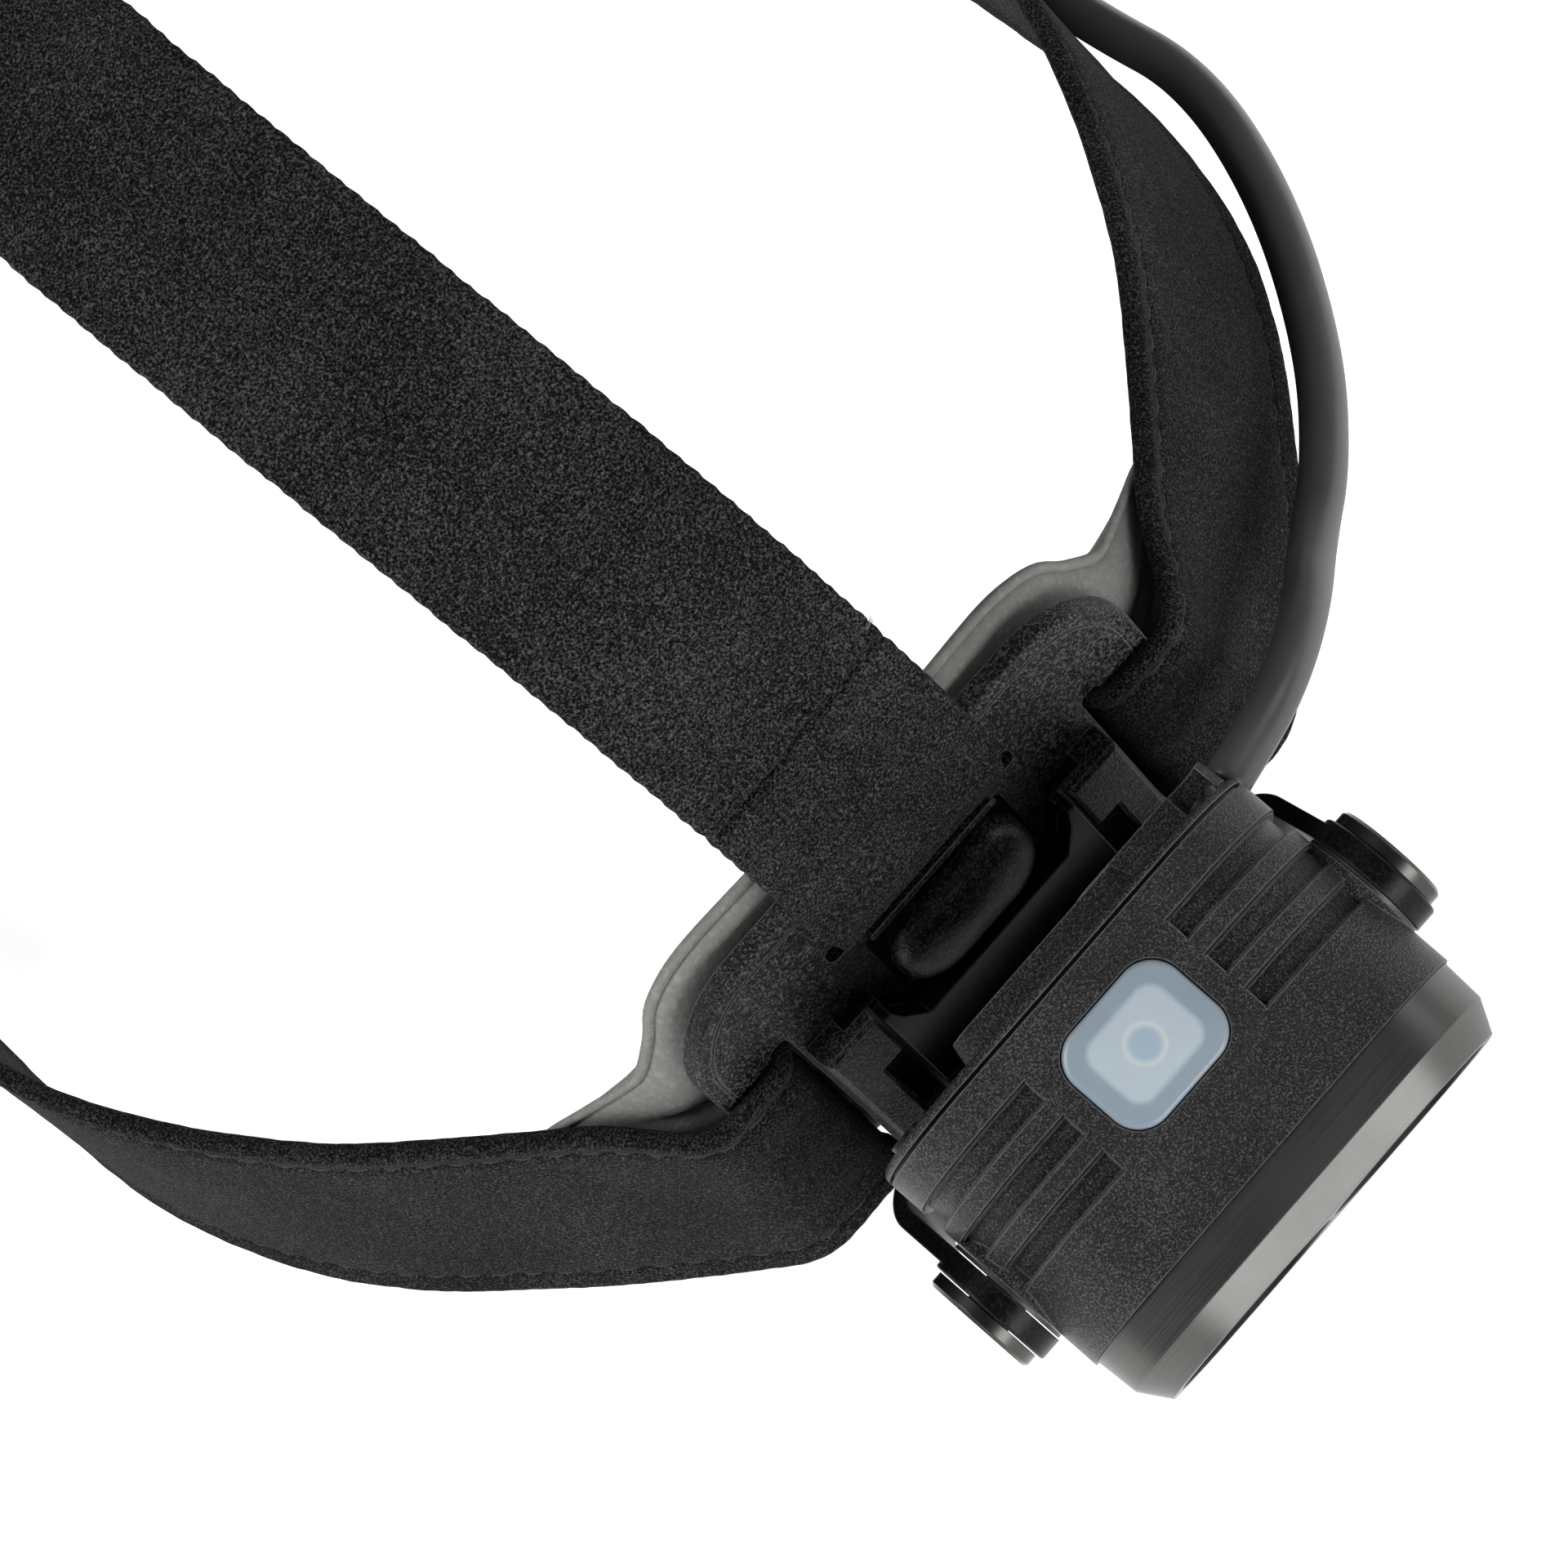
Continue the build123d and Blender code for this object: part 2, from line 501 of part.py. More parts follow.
with BuildPart() as release_tongue:
    with BuildSketch(Plane.YZ.offset(-TONGUE_HALF)):
        with BuildLine():
            Polyline((-PLATE_FACE + 0.3, TONGUE_BOTTOM), (-PLATE_FACE + 0.3, TONGUE_TOP),
                     (-PLATE_FACE - 1.4, TONGUE_TOP))
            ThreePointArc((-PLATE_FACE - 1.4, TONGUE_TOP), (-PLATE_FACE - 3.3, 13.2), (-PLATE_FACE - 4.0, 10.2))
            Polyline((-PLATE_FACE - 4.0, 10.2), (-PLATE_FACE - 3.5, TONGUE_BOTTOM),
                     (-PLATE_FACE + 0.3, TONGUE_BOTTOM))
        make_face()
    extrude(amount=2 * TONGUE_HALF)
    with BuildSketch(front.offset(-2)):
        with BuildLine():
            FilletPolyline((-TONGUE_HALF, TONGUE_BOTTOM), (-TONGUE_HALF, TONGUE_TOP), (TONGUE_HALF, TONGUE_TOP),
                           (TONGUE_HALF, TONGUE_BOTTOM), radius=5)
            Line((TONGUE_HALF, TONGUE_BOTTOM), (-TONGUE_HALF, TONGUE_BOTTOM))
        make_face()
    extrude(amount=8, mode=Mode.INTERSECT)
release_tongue.part.label = "release_tongue"
export_step(release_tongue.part, "parts/release_tongue.step")

# --- rear plate: the same blank, with a block that carries the battery --------
BLOCK_OUT = 100.4
BLOCK_HALF = 18.0
CARRIER = [(x, z) for x in (-12.0, 12.0) for z in (-9.0, 9.0)]

with BuildPart() as rear_plate:
    with BuildSketch(rear):
        with Locations((0, plate_middle)):
            RectangleRounded(2 * PLATE_HALF, PLATE_TOP - PLATE_BOTTOM, 11)
    extrude(amount=-PLATE_T)
    fillet(rear_plate.faces().sort_by(Axis.Y).last.edges(), 0.7)
    with BuildSketch(rear.offset(-PLATE_T - 1)):          # strap slots
        with Locations((SIDE_SLOT_X, 0), (-SIDE_SLOT_X, 0)):
            RectangleRounded(SLOT_W, 2 * SLOT_END, 0.9)
        with Locations((0, TOP_SLOT_Z)):
            RectangleRounded(TOP_STRAP_W + 1.4, SLOT_W, 0.9)
    extrude(amount=PLATE_T + 2, mode=Mode.SUBTRACT)
    with BuildSketch(rear):
        RectangleRounded(2 * BLOCK_HALF, 28, 3)
    extrude(amount=BLOCK_OUT - PLATE_FACE)
    with BuildSketch(rear.offset(-PLATE_T - 1)):
        with Locations(CARRIER):
            Circle(1.05)
    extrude(amount=8, mode=Mode.SUBTRACT)
rear_plate.part.label = "rear_plate"
export_step(rear_plate.part, "parts/rear_plate.step")

# --- pads between the plates and the head -------------------------------------
PAD_FACE = PLATE_FACE - PLATE_T - GAP
WING_X = 47.0               # the crescent's tips, cut off short of a knife edge
WING_Y = 79.3
WING_CUT = 1.4

wing_end = WING_X - WING_CUT

with BuildPart() as front_pad:
    with BuildSketch(Plane.XY.offset(-18)):                # crescent seen from above
        with BuildLine():
            Polyline((-29, -PAD_FACE), (29, -PAD_FACE), (33.5, -PAD_FACE + 1.6), (WING_X, -WING_Y))
            ThreePointArc((WING_X, -WING_Y), (0, -PAD_FACE + 5), (-WING_X, -WING_Y))
            Polyline((-WING_X, -WING_Y), (-33.5, -PAD_FACE + 1.6), (-29, -PAD_FACE))
        make_face()
    extrude(amount=49)
    with BuildSketch(front.offset(-30)):                   # outline seen from the front
        with Locations((0, 7)):
            RectangleRounded(2 * PLATE_HALF + 2, 48, 12)
        with BuildLine():
            FilletPolyline((-wing_end, -11), (-wing_end, 14), (-26, 24), (26, 24), (wing_end, 14),
                           (wing_end, -11), (26, -14), (-26, -14), (-wing_end, -11), radius=4)
        make_face()
    extrude(amount=40, mode=Mode.INTERSECT)
front_pad.part.label = "front_pad"
export_step(front_pad.part, "parts/front_pad.step")

with BuildPart() as rear_pad:
    with BuildSketch(Plane.XY.offset(-18)):
        with BuildLine():
            Polyline((-30, PAD_FACE - 3), (-30, PAD_FACE), (30, PAD_FACE), (30, PAD_FACE - 3))
            ThreePointArc((30, PAD_FACE - 3), (0, PAD_FACE - 5), (-30, PAD_FACE - 3))
        make_face()
    extrude(amount=46)
    with BuildSketch(rear.offset(-30)):
        with Locations((0, 5)):
            RectangleRounded(2 * PLATE_HALF, 44, 11)
    extrude(amount=40, mode=Mode.INTERSECT)
rear_pad.part.label = "rear_pad"
export_step(rear_pad.part, "parts/rear_pad.step")

# --- side straps: through the front slot, round the temple, to the rear slot ---
STRAP_Y = PLATE_FACE + GAP + STRAP_T / 2 + 0.1             # middle surface, where it lies on a plate
STRAP_IN = PLATE_FACE - PLATE_T + 0.35                     # where the strap ends, inside its slot

EAR_END = 31.0              # the strap leaves the plate's end here
CHEEK_R = 100.0             # the rear quarter turns 25, 35 and 30 degrees, ever tighter
BACK_R = 50.0

with BuildLine() as side_route:                            # the +X side, seen from above
    tab = FilletPolyline((SIDE_SLOT_X, -STRAP_IN), (SIDE_SLOT_X, -STRAP_Y), (EAR_END, -STRAP_Y), radius=1.1)
    ear = JernArc(tab @ 1, tab % 1, 7, 45)
    brow = JernArc(ear @ 1, ear % 1, 330, 6)
    temple = JernArc(brow @ 1, brow % 1, 82, 39)
    side_x = (temple @ 1).X
    nape_in = CHEEK_R * (1 - cos(radians(25))) + BACK_R * (cos(radians(25)) - cos(radians(60)))
    nape_r = (side_x - nape_in - EAR_END) / sin(radians(30))
    rear_rise = (CHEEK_R * sin(radians(25)) + BACK_R * (sin(radians(60)) - sin(radians(25)))
                 + nape_r * (1 - sin(radians(60))))
    side_run = Line(temple @ 1, (side_x, STRAP_Y - rear_rise))
    cheek = JernArc(side_run @ 1, side_run % 1, CHEEK_R, 25)
    back = JernArc(cheek @ 1, cheek % 1, BACK_R, 35)
    nape = JernArc(back @ 1, back % 1, nape_r, 30)
    end_tab = FilletPolyline(nape @ 1, (SIDE_SLOT_X, STRAP_Y), (SIDE_SLOT_X, STRAP_IN), radius=1.1)
side_strap_l = sum(e.length for e in side_route.edges())
print("side strap: x", round(side_x, 2), "straight from y", round((temple @ 1).Y, 1), "to",
      round((side_run @ 1).Y, 1), "length", round(side_strap_l, 1))

with BuildPart() as side_strap_left:
    with BuildSketch(Plane.XY.offset(-SIDE_STRAP_W / 2)):
        trace(side_route.edges(), line_width=STRAP_T)
    extrude(amount=SIDE_STRAP_W)
side_strap_left.part.label = "side_strap_left"
export_step(side_strap_left.part, "parts/side_strap_left.step")

with BuildPart() as side_strap_right:
    add(mirror(side_strap_left.part, about=Plane.YZ))
side_strap_right.part.label = "side_strap_right"
export_step(side_strap_right.part, "parts/side_strap_right.step")

# --- top strap: up in front of the plate, over the crown, down to the rear ------
CROWN_Z = 104.0
FRONT_RISE = 30.0           # top of the straight rise at the front
REAR_RISE = 54.0            # and at the rear, where the slider runs


def crown_radii(rise, shoulder):
    """Radii of two tangent arcs that reach the crown: a tight one, then a wide one that turns `shoulder`."""
    s, c = sin(radians(shoulder)), cos(radians(shoulder))
    det = (1 - s) * (1 - c) - s * c
    tight = (STRAP_Y * (1 - c) - rise * s) / det
    wide = ((1 - s) * rise - c * STRAP_Y) / det
    return tight, wide


front_tight, front_wide = crown_radii(CROWN_Z - FRONT_RISE, 40)
rear_tight, rear_wide = crown_radii(CROWN_Z - REAR_RISE, 30)

with BuildLine() as top_route:                             # its x is the row's Y, its y is Z
    rise = FilletPolyline((-STRAP_IN, TOP_SLOT_Z), (-STRAP_Y, TOP_SLOT_Z), (-STRAP_Y, FRONT_RISE), radius=1.1)
    forehead = JernArc(rise @ 1, rise % 1, front_tight, -50)
    crown = JernArc(forehead @ 1, forehead % 1, front_wide, -40)
    crown_back = JernArc(crown @ 1, crown % 1, rear_wide, -30)
    occiput = JernArc(crown_back @ 1, crown_back % 1, rear_tight, -60)
    drop = FilletPolyline(occiput @ 1, (STRAP_Y, TOP_SLOT_Z), (STRAP_IN, TOP_SLOT_Z), radius=1.1)
print("top strap: crown at", crown @ 1, "length", round(sum(e.length for e in top_route.edges()), 1))

with BuildPart() as top_strap:
    with BuildSketch(Plane.YZ.offset(-TOP_STRAP_W / 2)):
        trace(top_route.edges(), line_width=STRAP_T)
    extrude(amount=TOP_STRAP_W)
top_strap.part.label = "top_strap"
export_step(top_strap.part, "parts/top_strap.step")

# --- sliders: flat frames with two windows in the outer face, round each strap ---
SLIDER_L = 14.0
SLIDER_WALL = 1.3
SIDE_SLIDER_Y = 12.5
TOP_SLIDER_Z = 41.0


def slider_frame(plane, strap_w):
    """A flat loop round a strap; x along the strap, y across it, z outwards."""
    with BuildPart() as frame:
        with BuildSketch(plane.offset(-STRAP_T / 2 - GAP - SLIDER_WALL)):
            RectangleRounded(SLIDER_L, strap_w + 5, 2)
        extrude(amount=STRAP_T + 2 * GAP + 2 * SLIDER_WALL)
        with BuildSketch(plane.offset(-STRAP_T / 2 - GAP)):
            Rectangle(SLIDER_L + 2, strap_w + 1)
        extrude(amount=STRAP_T + 2 * GAP, mode=Mode.SUBTRACT)
        with BuildSketch(plane.offset(STRAP_T / 2)):
            with Locations((-3.4, 0), (3.4, 0)):
                RectangleRounded(3.6, strap_w - 1, 0.8)
        extrude(amount=SLIDER_WALL + 2, mode=Mode.SUBTRACT)
    return frame.part


for name, side in (("left", 1), ("right", -1)):
    slider_plane = Plane(origin=(side * side_x, SIDE_SLIDER_Y, 0), x_dir=(0, 1, 0), z_dir=(side, 0, 0))
    side_slider = slider_frame(slider_plane, SIDE_STRAP_W)
    side_slider.label = f"side_slider_{name}"
    export_step(side_slider, f"parts/side_slider_{name}.step")

top_slider = slider_frame(Plane(origin=(0, STRAP_Y, TOP_SLIDER_Z), x_dir=(0, 0, 1), z_dir=(0, 1, 0)), TOP_STRAP_W)
top_slider.label = "top_slider"
export_step(top_slider, "parts/top_slider.step")

# --- battery: tray on the rear plate's block, cover, two cells, board, button ---
CASE_W = 80.0
CASE_H = 44.0
CASE_REAR = 125.0
TRAY_REAR = 104.0
CASE_WALL = 1.8
CASE_R = 7.0
CELL_R = 9.3
CELL_L = 65.0
CELL_Y = 113.6
SOCKET_Z = -8.0
COVER_POSTS = [(x, z) for x in (-CASE_W / 2 + 3.6, CASE_W / 2 - 3.6) for z in (-CASE_H / 2 + 3.6, CASE_H / 2 - 3.6)]

with BuildPart() as battery_tray:
    with BuildSketch(rear.offset(BLOCK_OUT - PLATE_FACE)):
        RectangleRounded(CASE_W, CASE_H, CASE_R)
    extrude(amount=TRAY_REAR - BLOCK_OUT)
    fillet(battery_tray.faces().sort_by(Axis.Y).first.edges(), 1.6)
    with BuildSketch(rear.offset(BLOCK_OUT - PLATE_FACE + 1.6)):
        RectangleRounded(CASE_W - 2 * CASE_WALL - 9, CASE_H - 2 * CASE_WALL, 3)
    extrude(amount=TRAY_REAR, mode=Mode.SUBTRACT)
    with BuildSketch(rear.offset(BLOCK_OUT - PLATE_FACE - 1)):
        with Locations(CARRIER, COVER_POSTS):
            Circle(1.3)
    extrude(amount=TRAY_REAR, mode=Mode.SUBTRACT)
    with BuildSketch(rear.offset(BLOCK_OUT - PLATE_FACE - 1)):
        with Locations(COVER_POSTS):
            Circle(2.1)
    extrude(amount=1 + 1.5, mode=Mode.SUBTRACT)
battery_tray.part.label = "battery_tray"
export_step(battery_tray.part, "parts/battery_tray.step")

with BuildPart() as battery_gasket:
    with BuildSketch(rear.offset(TRAY_REAR - PLATE_FACE + 0.02)):
        RectangleRounded(CASE_W - 0.8, CASE_H - 0.8, CASE_R - 0.4)
        offset(amount=-1.1, mode=Mode.SUBTRACT)
        with Locations(COVER_POSTS):
            Circle(1.6, mode=Mode.SUBTRACT)
    extrude(amount=0.46)
battery_gasket.part.label = "battery_gasket"
export_step(battery_gasket.part, "parts/battery_gasket.step")

socket = Plane(origin=(CASE_W / 2, CELL_Y, SOCKET_Z), x_dir=(0, 1, 0), z_dir=(1, 0, 0))
KEY_X = -CASE_W / 2 + 14

with BuildPart() as battery_cover:
    with BuildSketch(rear.offset(TRAY_REAR - PLATE_FACE + 0.5)):
        RectangleRounded(CASE_W, CASE_H, CASE_R)
    extrude(amount=CASE_REAR - TRAY_REAR - 0.5)
    fillet(battery_cover.faces().sort_by(Axis.Y).last.edges(), 4)
    with BuildSketch(rear.offset(TRAY_REAR - PLATE_FACE)):
        RectangleRounded(CASE_W - 2 * CASE_WALL, CASE_H - 2 * CASE_WALL, CASE_R - CASE_WALL)
    extrude(amount=CASE_REAR - TRAY_REAR - CASE_WALL, mode=Mode.SUBTRACT)
    with BuildSketch(rear.offset(TRAY_REAR - PLATE_FACE + 0.5)):
        with Locations(COVER_POSTS):
            Circle(2.6)
    extrude(amount=5)
    with BuildSketch(rear.offset(TRAY_REAR - PLATE_FACE)):
        with Locations(COVER_POSTS):
            Circle(1.0)
    extrude(amount=8, mode=Mode.SUBTRACT)
    with BuildSketch(rear.offset(CASE_REAR - PLATE_FACE - CASE_WALL - 1)):
        with Locations((-KEY_X, 0)):
            Circle(4.15)
    extrude(amount=8, mode=Mode.SUBTRACT)
    with BuildSketch(socket.offset(-CASE_WALL - 1)):
        Circle(4.05)
    extrude(amount=8, mode=Mode.SUBTRACT)
battery_cover.part.label = "battery_cover"
export_step(battery_cover.part, "parts/battery_cover.step")

for name, z in (("upper", CELL_R + 0.3), ("lower", -CELL_R - 0.3)):
    with BuildPart() as cell:
        with BuildSketch(Plane(origin=(-CELL_L / 2 - 1.1, CELL_Y, z), x_dir=(0, 1, 0), z_dir=(1, 0, 0))):
            Circle(CELL_R)
        extrude(amount=CELL_L)
    cell.part.label = f"battery_cell_{name}"
    export_step(cell.part, f"parts/battery_cell_{name}.step")

with BuildPart() as battery_board:
    with BuildSketch(Plane(origin=(CASE_W / 2 - CASE_WALL - 3.4, CELL_Y, 0), x_dir=(0, 1, 0), z_dir=(1, 0, 0))):
        Rectangle(15, 30)
    extrude(amount=1)
    with BuildSketch(Plane(origin=(CASE_W / 2 - CASE_WALL - 2.4, CELL_Y, 9), x_dir=(0, 1, 0), z_dir=(1, 0, 0))):
        with Locations((-3, 0), (3, 2)):
            Rectangle(3, 4)
    extrude(amount=1)
battery_board.part.label = "battery_board"
export_step(battery_board.part, "parts/battery_board.step")

with BuildPart() as battery_socket:
    with BuildSketch(socket.offset(-CASE_WALL - 0.5)):
        Circle(4.0)
    extrude(amount=CASE_WALL + 0.5 + 1.5)
    with BuildSketch(socket.offset(0)):
        Circle(2.6)
    extrude(amount=4, mode=Mode.SUBTRACT)
battery_socket.part.label = "battery_socket"
export_step(battery_socket.part, "parts/battery_socket.step")

KEY_TRAVEL = 0.5
with BuildPart() as battery_button:
    with BuildSketch(rear.offset(CASE_REAR - PLATE_FACE - CASE_WALL - 0.9)):
        with Locations((-KEY_X, 0)):
            Circle(4.8)
    extrude(amount=0.8)
    with BuildSketch(rear.offset(CASE_REAR - PLATE_FACE - CASE_WALL - 0.1)):
        with Locations((-KEY_X, 0)):
            Circle(4.0)
    extrude(amount=CASE_WALL + 0.1 + 0.5)
    fillet(battery_button.faces().sort_by(Axis.Y).last.edges(), 0.4)
battery_button.part.label = "battery_button"
export_step(battery_button.part, "parts/battery_button.step")

with BuildPart() as tray_screws:                           # hold the tray to the rear plate
    with BuildSketch(rear.offset(-PLATE_T + 0.1)):
        with Locations(CARRIER):
            Circle(1.0)
    extrude(amount=BLOCK_OUT + 1.65 - PLATE_FACE + PLATE_T - 0.1)
    with BuildSketch(rear.offset(BLOCK_OUT + 1.62 - PLATE_FACE)):
        with Locations(CARRIER):
            Circle(1.9)
    extrude(amount=1)
tray_screws.part.label = "tray_screws"
export_step(tray_screws.part, "parts/tray_screws.step")

with BuildPart() as cover_screws:                          # hold the cover to the tray
    with BuildSketch(rear.offset(BLOCK_OUT - PLATE_FACE + 0.1)):
        with Locations(COVER_POSTS):
            Circle(1.9)
            Rectangle(2.2, 0.5, mode=Mode.SUBTRACT)
            Rectangle(0.5, 2.2, mode=Mode.SUBTRACT)
    extrude(amount=0.7)
    with BuildSketch(rear.offset(BLOCK_OUT - PLATE_FACE + 0.8)):
        with Locations(COVER_POSTS):
            Circle(1.9)
    extrude(amount=0.68)
    with BuildSketch(rear.offset(BLOCK_OUT - PLATE_FACE + 1.4)):
        with Locations(COVER_POSTS):
            Circle(0.95)
    extrude(amount=8)
cover_screws.part.label = "cover_screws"
export_step(cover_screws.part, "parts/cover_screws.step")

# --- lamp cable: from the lamp, round the wearer's left temple, to the battery --
CABLE_X = side_x + STRAP_T / 2 + GAP + CABLE_D / 2         # it lies along the strap's outer face
LOOP_Y = -18.0
CABLE_Z = -8.0
PLUG_X = 49.0
socket_mouth = Vector(CASE_W / 2 + 1.5, CELL_Y, SOCKET_Z)

front_points = [                                           # hangs free from the lamp to the loop
    cable_start,
    cable_start + OUTLET_WAY * 7.5,
    (37.6, -105.8, 5.3),
    (43.8, -100.4, 1.5),
    (49.8, -92.9, -3.9),
    (57.4, -85.7, -8.0),
    (67.2, -74.1, -10.8),
    (77.2, -57.3, -11.4),
    (82.6, -41.0, -9.8),
    (CABLE_X, -28.0, CABLE_Z),
    (CABLE_X, LOOP_Y, CABLE_Z),
]
side_points = [                                            # out over the slider, then to the socket
    (CABLE_X, LOOP_Y, CABLE_Z),
    (CABLE_X, -9.5, CABLE_Z),
    (CABLE_X + 2.2, -0.5, -8.3),
    (CABLE_X + 2.6, 14.0, -8.8),
    (CABLE_X + 2.3, 35.0, -9.4),
    (CABLE_X + 1.0, 62.0, -9.8),
    (81.2, 84.0, -9.6),
    (77.0, 98.0, -9.2),
    (68.6, 108.6, -8.6),
    (58.5, CELL_Y, SOCKET_Z),
    (PLUG_X, CELL_Y, SOCKET_Z),
]


def cable_radii(points):
    """The largest arc that each corner of the route allows."""
    corners = [Vector(*p) for p in points]
    radii = []
    for before, here, after in zip(corners, corners[1:], corners[2:]):
        turn = radians((here - before).get_angle(after - here))
        shorter = min((here - before).length, (after - here).length)
        radii.append(0.45 * shorter / (sin(turn / 2) / cos(turn / 2)))
    return radii


for name, points in (("front", front_points), ("side", side_points)):
    radii = cable_radii(points)
    with BuildPart() as cable:
        with BuildLine() as route:
            FilletPolyline(*points, radius=radii)
        with BuildSketch(Plane(origin=route.line @ 0, z_dir=route.line % 0)):
            Circle(CABLE_D / 2)
        sweep(path=route.line)
    cable.part.label = f"lamp_cable_{name}"
    export_step(cable.part, f"parts/lamp_cable_{name}.step")
    length = sum(e.length for e in route.edges())
    print("cable", name, "length", round(length, 1), "radii", [round(r, 1) for r in radii],
          "volume over section times length", round(cable.part.volume / (pi * CABLE_D**2 / 4 * length), 5))

plug = Plane(origin=(PLUG_X, CELL_Y, SOCKET_Z), x_dir=(0, 1, 0), z_dir=(-1, 0, 0))
with BuildPart() as cable_plug:
    with BuildSketch(plug):
        Circle(3.2)
    with BuildSketch(plug.offset(6)):
        Circle(4.4)
    loft()
    with BuildSketch(plug.offset(6)):
        Circle(4.4)
    extrude(amount=PLUG_X - 6 - socket_mouth.X - 0.1)
    with BuildSketch(plug.offset(PLUG_X - socket_mouth.X - 0.1)):
        Circle(2.5)
    extrude(amount=1.4)
cable_plug.part.label = "cable_plug"
export_step(cable_plug.part, "parts/cable_plug.step")

# --- sewn loop that holds the cable to the strap -------------------------------
LOOP_L = 9.0
LOOP_T = 0.8
loop_in = side_x + STRAP_T / 2 + 0.05
with BuildPart() as cable_loop:
    with BuildSketch(Plane.XZ.offset(-LOOP_Y - LOOP_L / 2)):
        with Locations((CABLE_X, CABLE_Z)):
            Circle(CABLE_D / 2 + FIT + LOOP_T)
        with Locations((loop_in - 5, CABLE_Z)):
            Rectangle(10, 20, mode=Mode.SUBTRACT)
        with Locations((loop_in + LOOP_T / 2, CABLE_Z)):
            Rectangle(LOOP_T, 12)
        with Locations((CABLE_X, CABLE_Z)):
            Circle(CABLE_D / 2 + FIT, mode=Mode.SUBTRACT)
    extrude(amount=LOOP_L)
cable_loop.part.label = "cable_loop"
export_step(cable_loop.part, "parts/cable_loop.step")
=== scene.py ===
import random
from math import cos, exp, pi, radians, sin

import bpy
import numpy as np
from mathutils import Matrix, Vector, noise


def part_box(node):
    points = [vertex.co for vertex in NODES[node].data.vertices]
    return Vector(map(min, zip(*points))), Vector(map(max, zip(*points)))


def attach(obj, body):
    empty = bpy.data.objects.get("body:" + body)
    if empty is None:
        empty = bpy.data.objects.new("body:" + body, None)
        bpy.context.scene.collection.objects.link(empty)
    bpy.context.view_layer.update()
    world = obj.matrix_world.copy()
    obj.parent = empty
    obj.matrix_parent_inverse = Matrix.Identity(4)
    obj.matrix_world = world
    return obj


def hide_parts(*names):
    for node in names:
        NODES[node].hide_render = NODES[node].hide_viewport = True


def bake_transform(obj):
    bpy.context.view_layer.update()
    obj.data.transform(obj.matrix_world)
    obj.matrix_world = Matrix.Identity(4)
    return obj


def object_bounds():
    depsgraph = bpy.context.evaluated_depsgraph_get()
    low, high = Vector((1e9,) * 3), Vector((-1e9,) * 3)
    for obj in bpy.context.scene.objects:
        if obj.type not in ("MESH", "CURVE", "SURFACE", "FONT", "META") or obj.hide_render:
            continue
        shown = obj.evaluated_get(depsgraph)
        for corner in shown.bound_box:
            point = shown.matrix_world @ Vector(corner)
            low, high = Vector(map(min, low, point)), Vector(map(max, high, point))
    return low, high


# ---------------------------------------------------------------------------
# Looks of the headlamp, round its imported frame. Shapes are worked out in
# millimetres, in the row's frame, and turned into metres when a mesh is made.
# ---------------------------------------------------------------------------

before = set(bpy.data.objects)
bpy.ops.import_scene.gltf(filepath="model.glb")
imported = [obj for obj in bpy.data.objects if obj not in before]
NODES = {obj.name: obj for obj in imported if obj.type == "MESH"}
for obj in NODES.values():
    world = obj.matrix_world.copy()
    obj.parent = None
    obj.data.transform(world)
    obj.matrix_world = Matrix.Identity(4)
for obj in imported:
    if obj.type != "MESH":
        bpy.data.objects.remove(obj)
cad_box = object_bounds()
MM = 0.001
random.seed(7)

TILT = radians(26)
PIVOT = Vector((0, -127, 4))
X, Z = Vector((1, 0, 0)), Vector((0, 0, 1))
NOSE = Vector((0, -cos(TILT), -sin(TILT)))      # where the lamp looks
CROWN = Vector((0, -sin(TILT), cos(TILT)))      # out of the lamp's top
LID = 14                                        # the lamp's top, from the pivot along CROWN

BUTTON_Z = -4.7                                 # the power button's middle, from the pivot along NOSE
BUTTON_W, BUTTON_L, BUTTON_CORNER = 14.5, 11.9, 3.5

SLOT_Y = 94.95              # the straps start in the plates' slots, this far from the middle
STRAP_T = 1.6
SEAM = 3.0                  # a seam runs this far inside the hem

SIDE_W = 30.0
SLOT_X, SLOT_BEND = 22.6, 2.25                  # a side strap's slot, and the radius of its bend out of it
EAR_END = 31.0                                  # where the plate's ear ends
BACK_R, CHEEK_R, SIDE_X = 50.0, 100.0, 77.34
SIDE_STEP = 0.72            # distance between a side strap's rings

TOP_W = 25.0
TOP_BEND = 1.7              # radius of the top strap's bend out of its slots
STRAP_Y, SLOT_Z, FRONT_RISE, REAR_RISE, CROWN_Z = 98.2, 19.4, 30.0, 54.0, 104.0
FOLD_SEAM = 30.5            # the crease where the folded end's cut edge is sewn down, along the strap
FOLD_END = 32.6
TOP_STEP = 0.18             # distance between the top strap's rings at its crease
FAR_RINGS = 4               # elsewhere one ring in so many is kept
FIBRES = 26

CABLE_D = 4.8
CABLE_X, CABLE_Z = 80.84, -8.0                  # the cable's run beside the strap
LOOP_Y = -18.0


# --- objects -----------------------------------------------------------------
def add(name, data):
    """A new object in the scene."""
    made = bpy.data.objects.new(name, data)
    bpy.context.scene.collection.objects.link(made)
    return made


def piece(name, points, faces, look, body="band"):
    """A smooth mesh piece from points in millimetres, riding on a body."""
    mesh = bpy.data.meshes.new(name)
    mesh.from_pydata([tuple(c * MM for c in p) for p in points], [], faces)
    mesh.validate()
    mesh.polygons.foreach_set("use_smooth", [True] * len(mesh.polygons))
    mesh.materials.append(look)
    made = add(name, mesh)
    if body:
        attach(made, body)
    return made


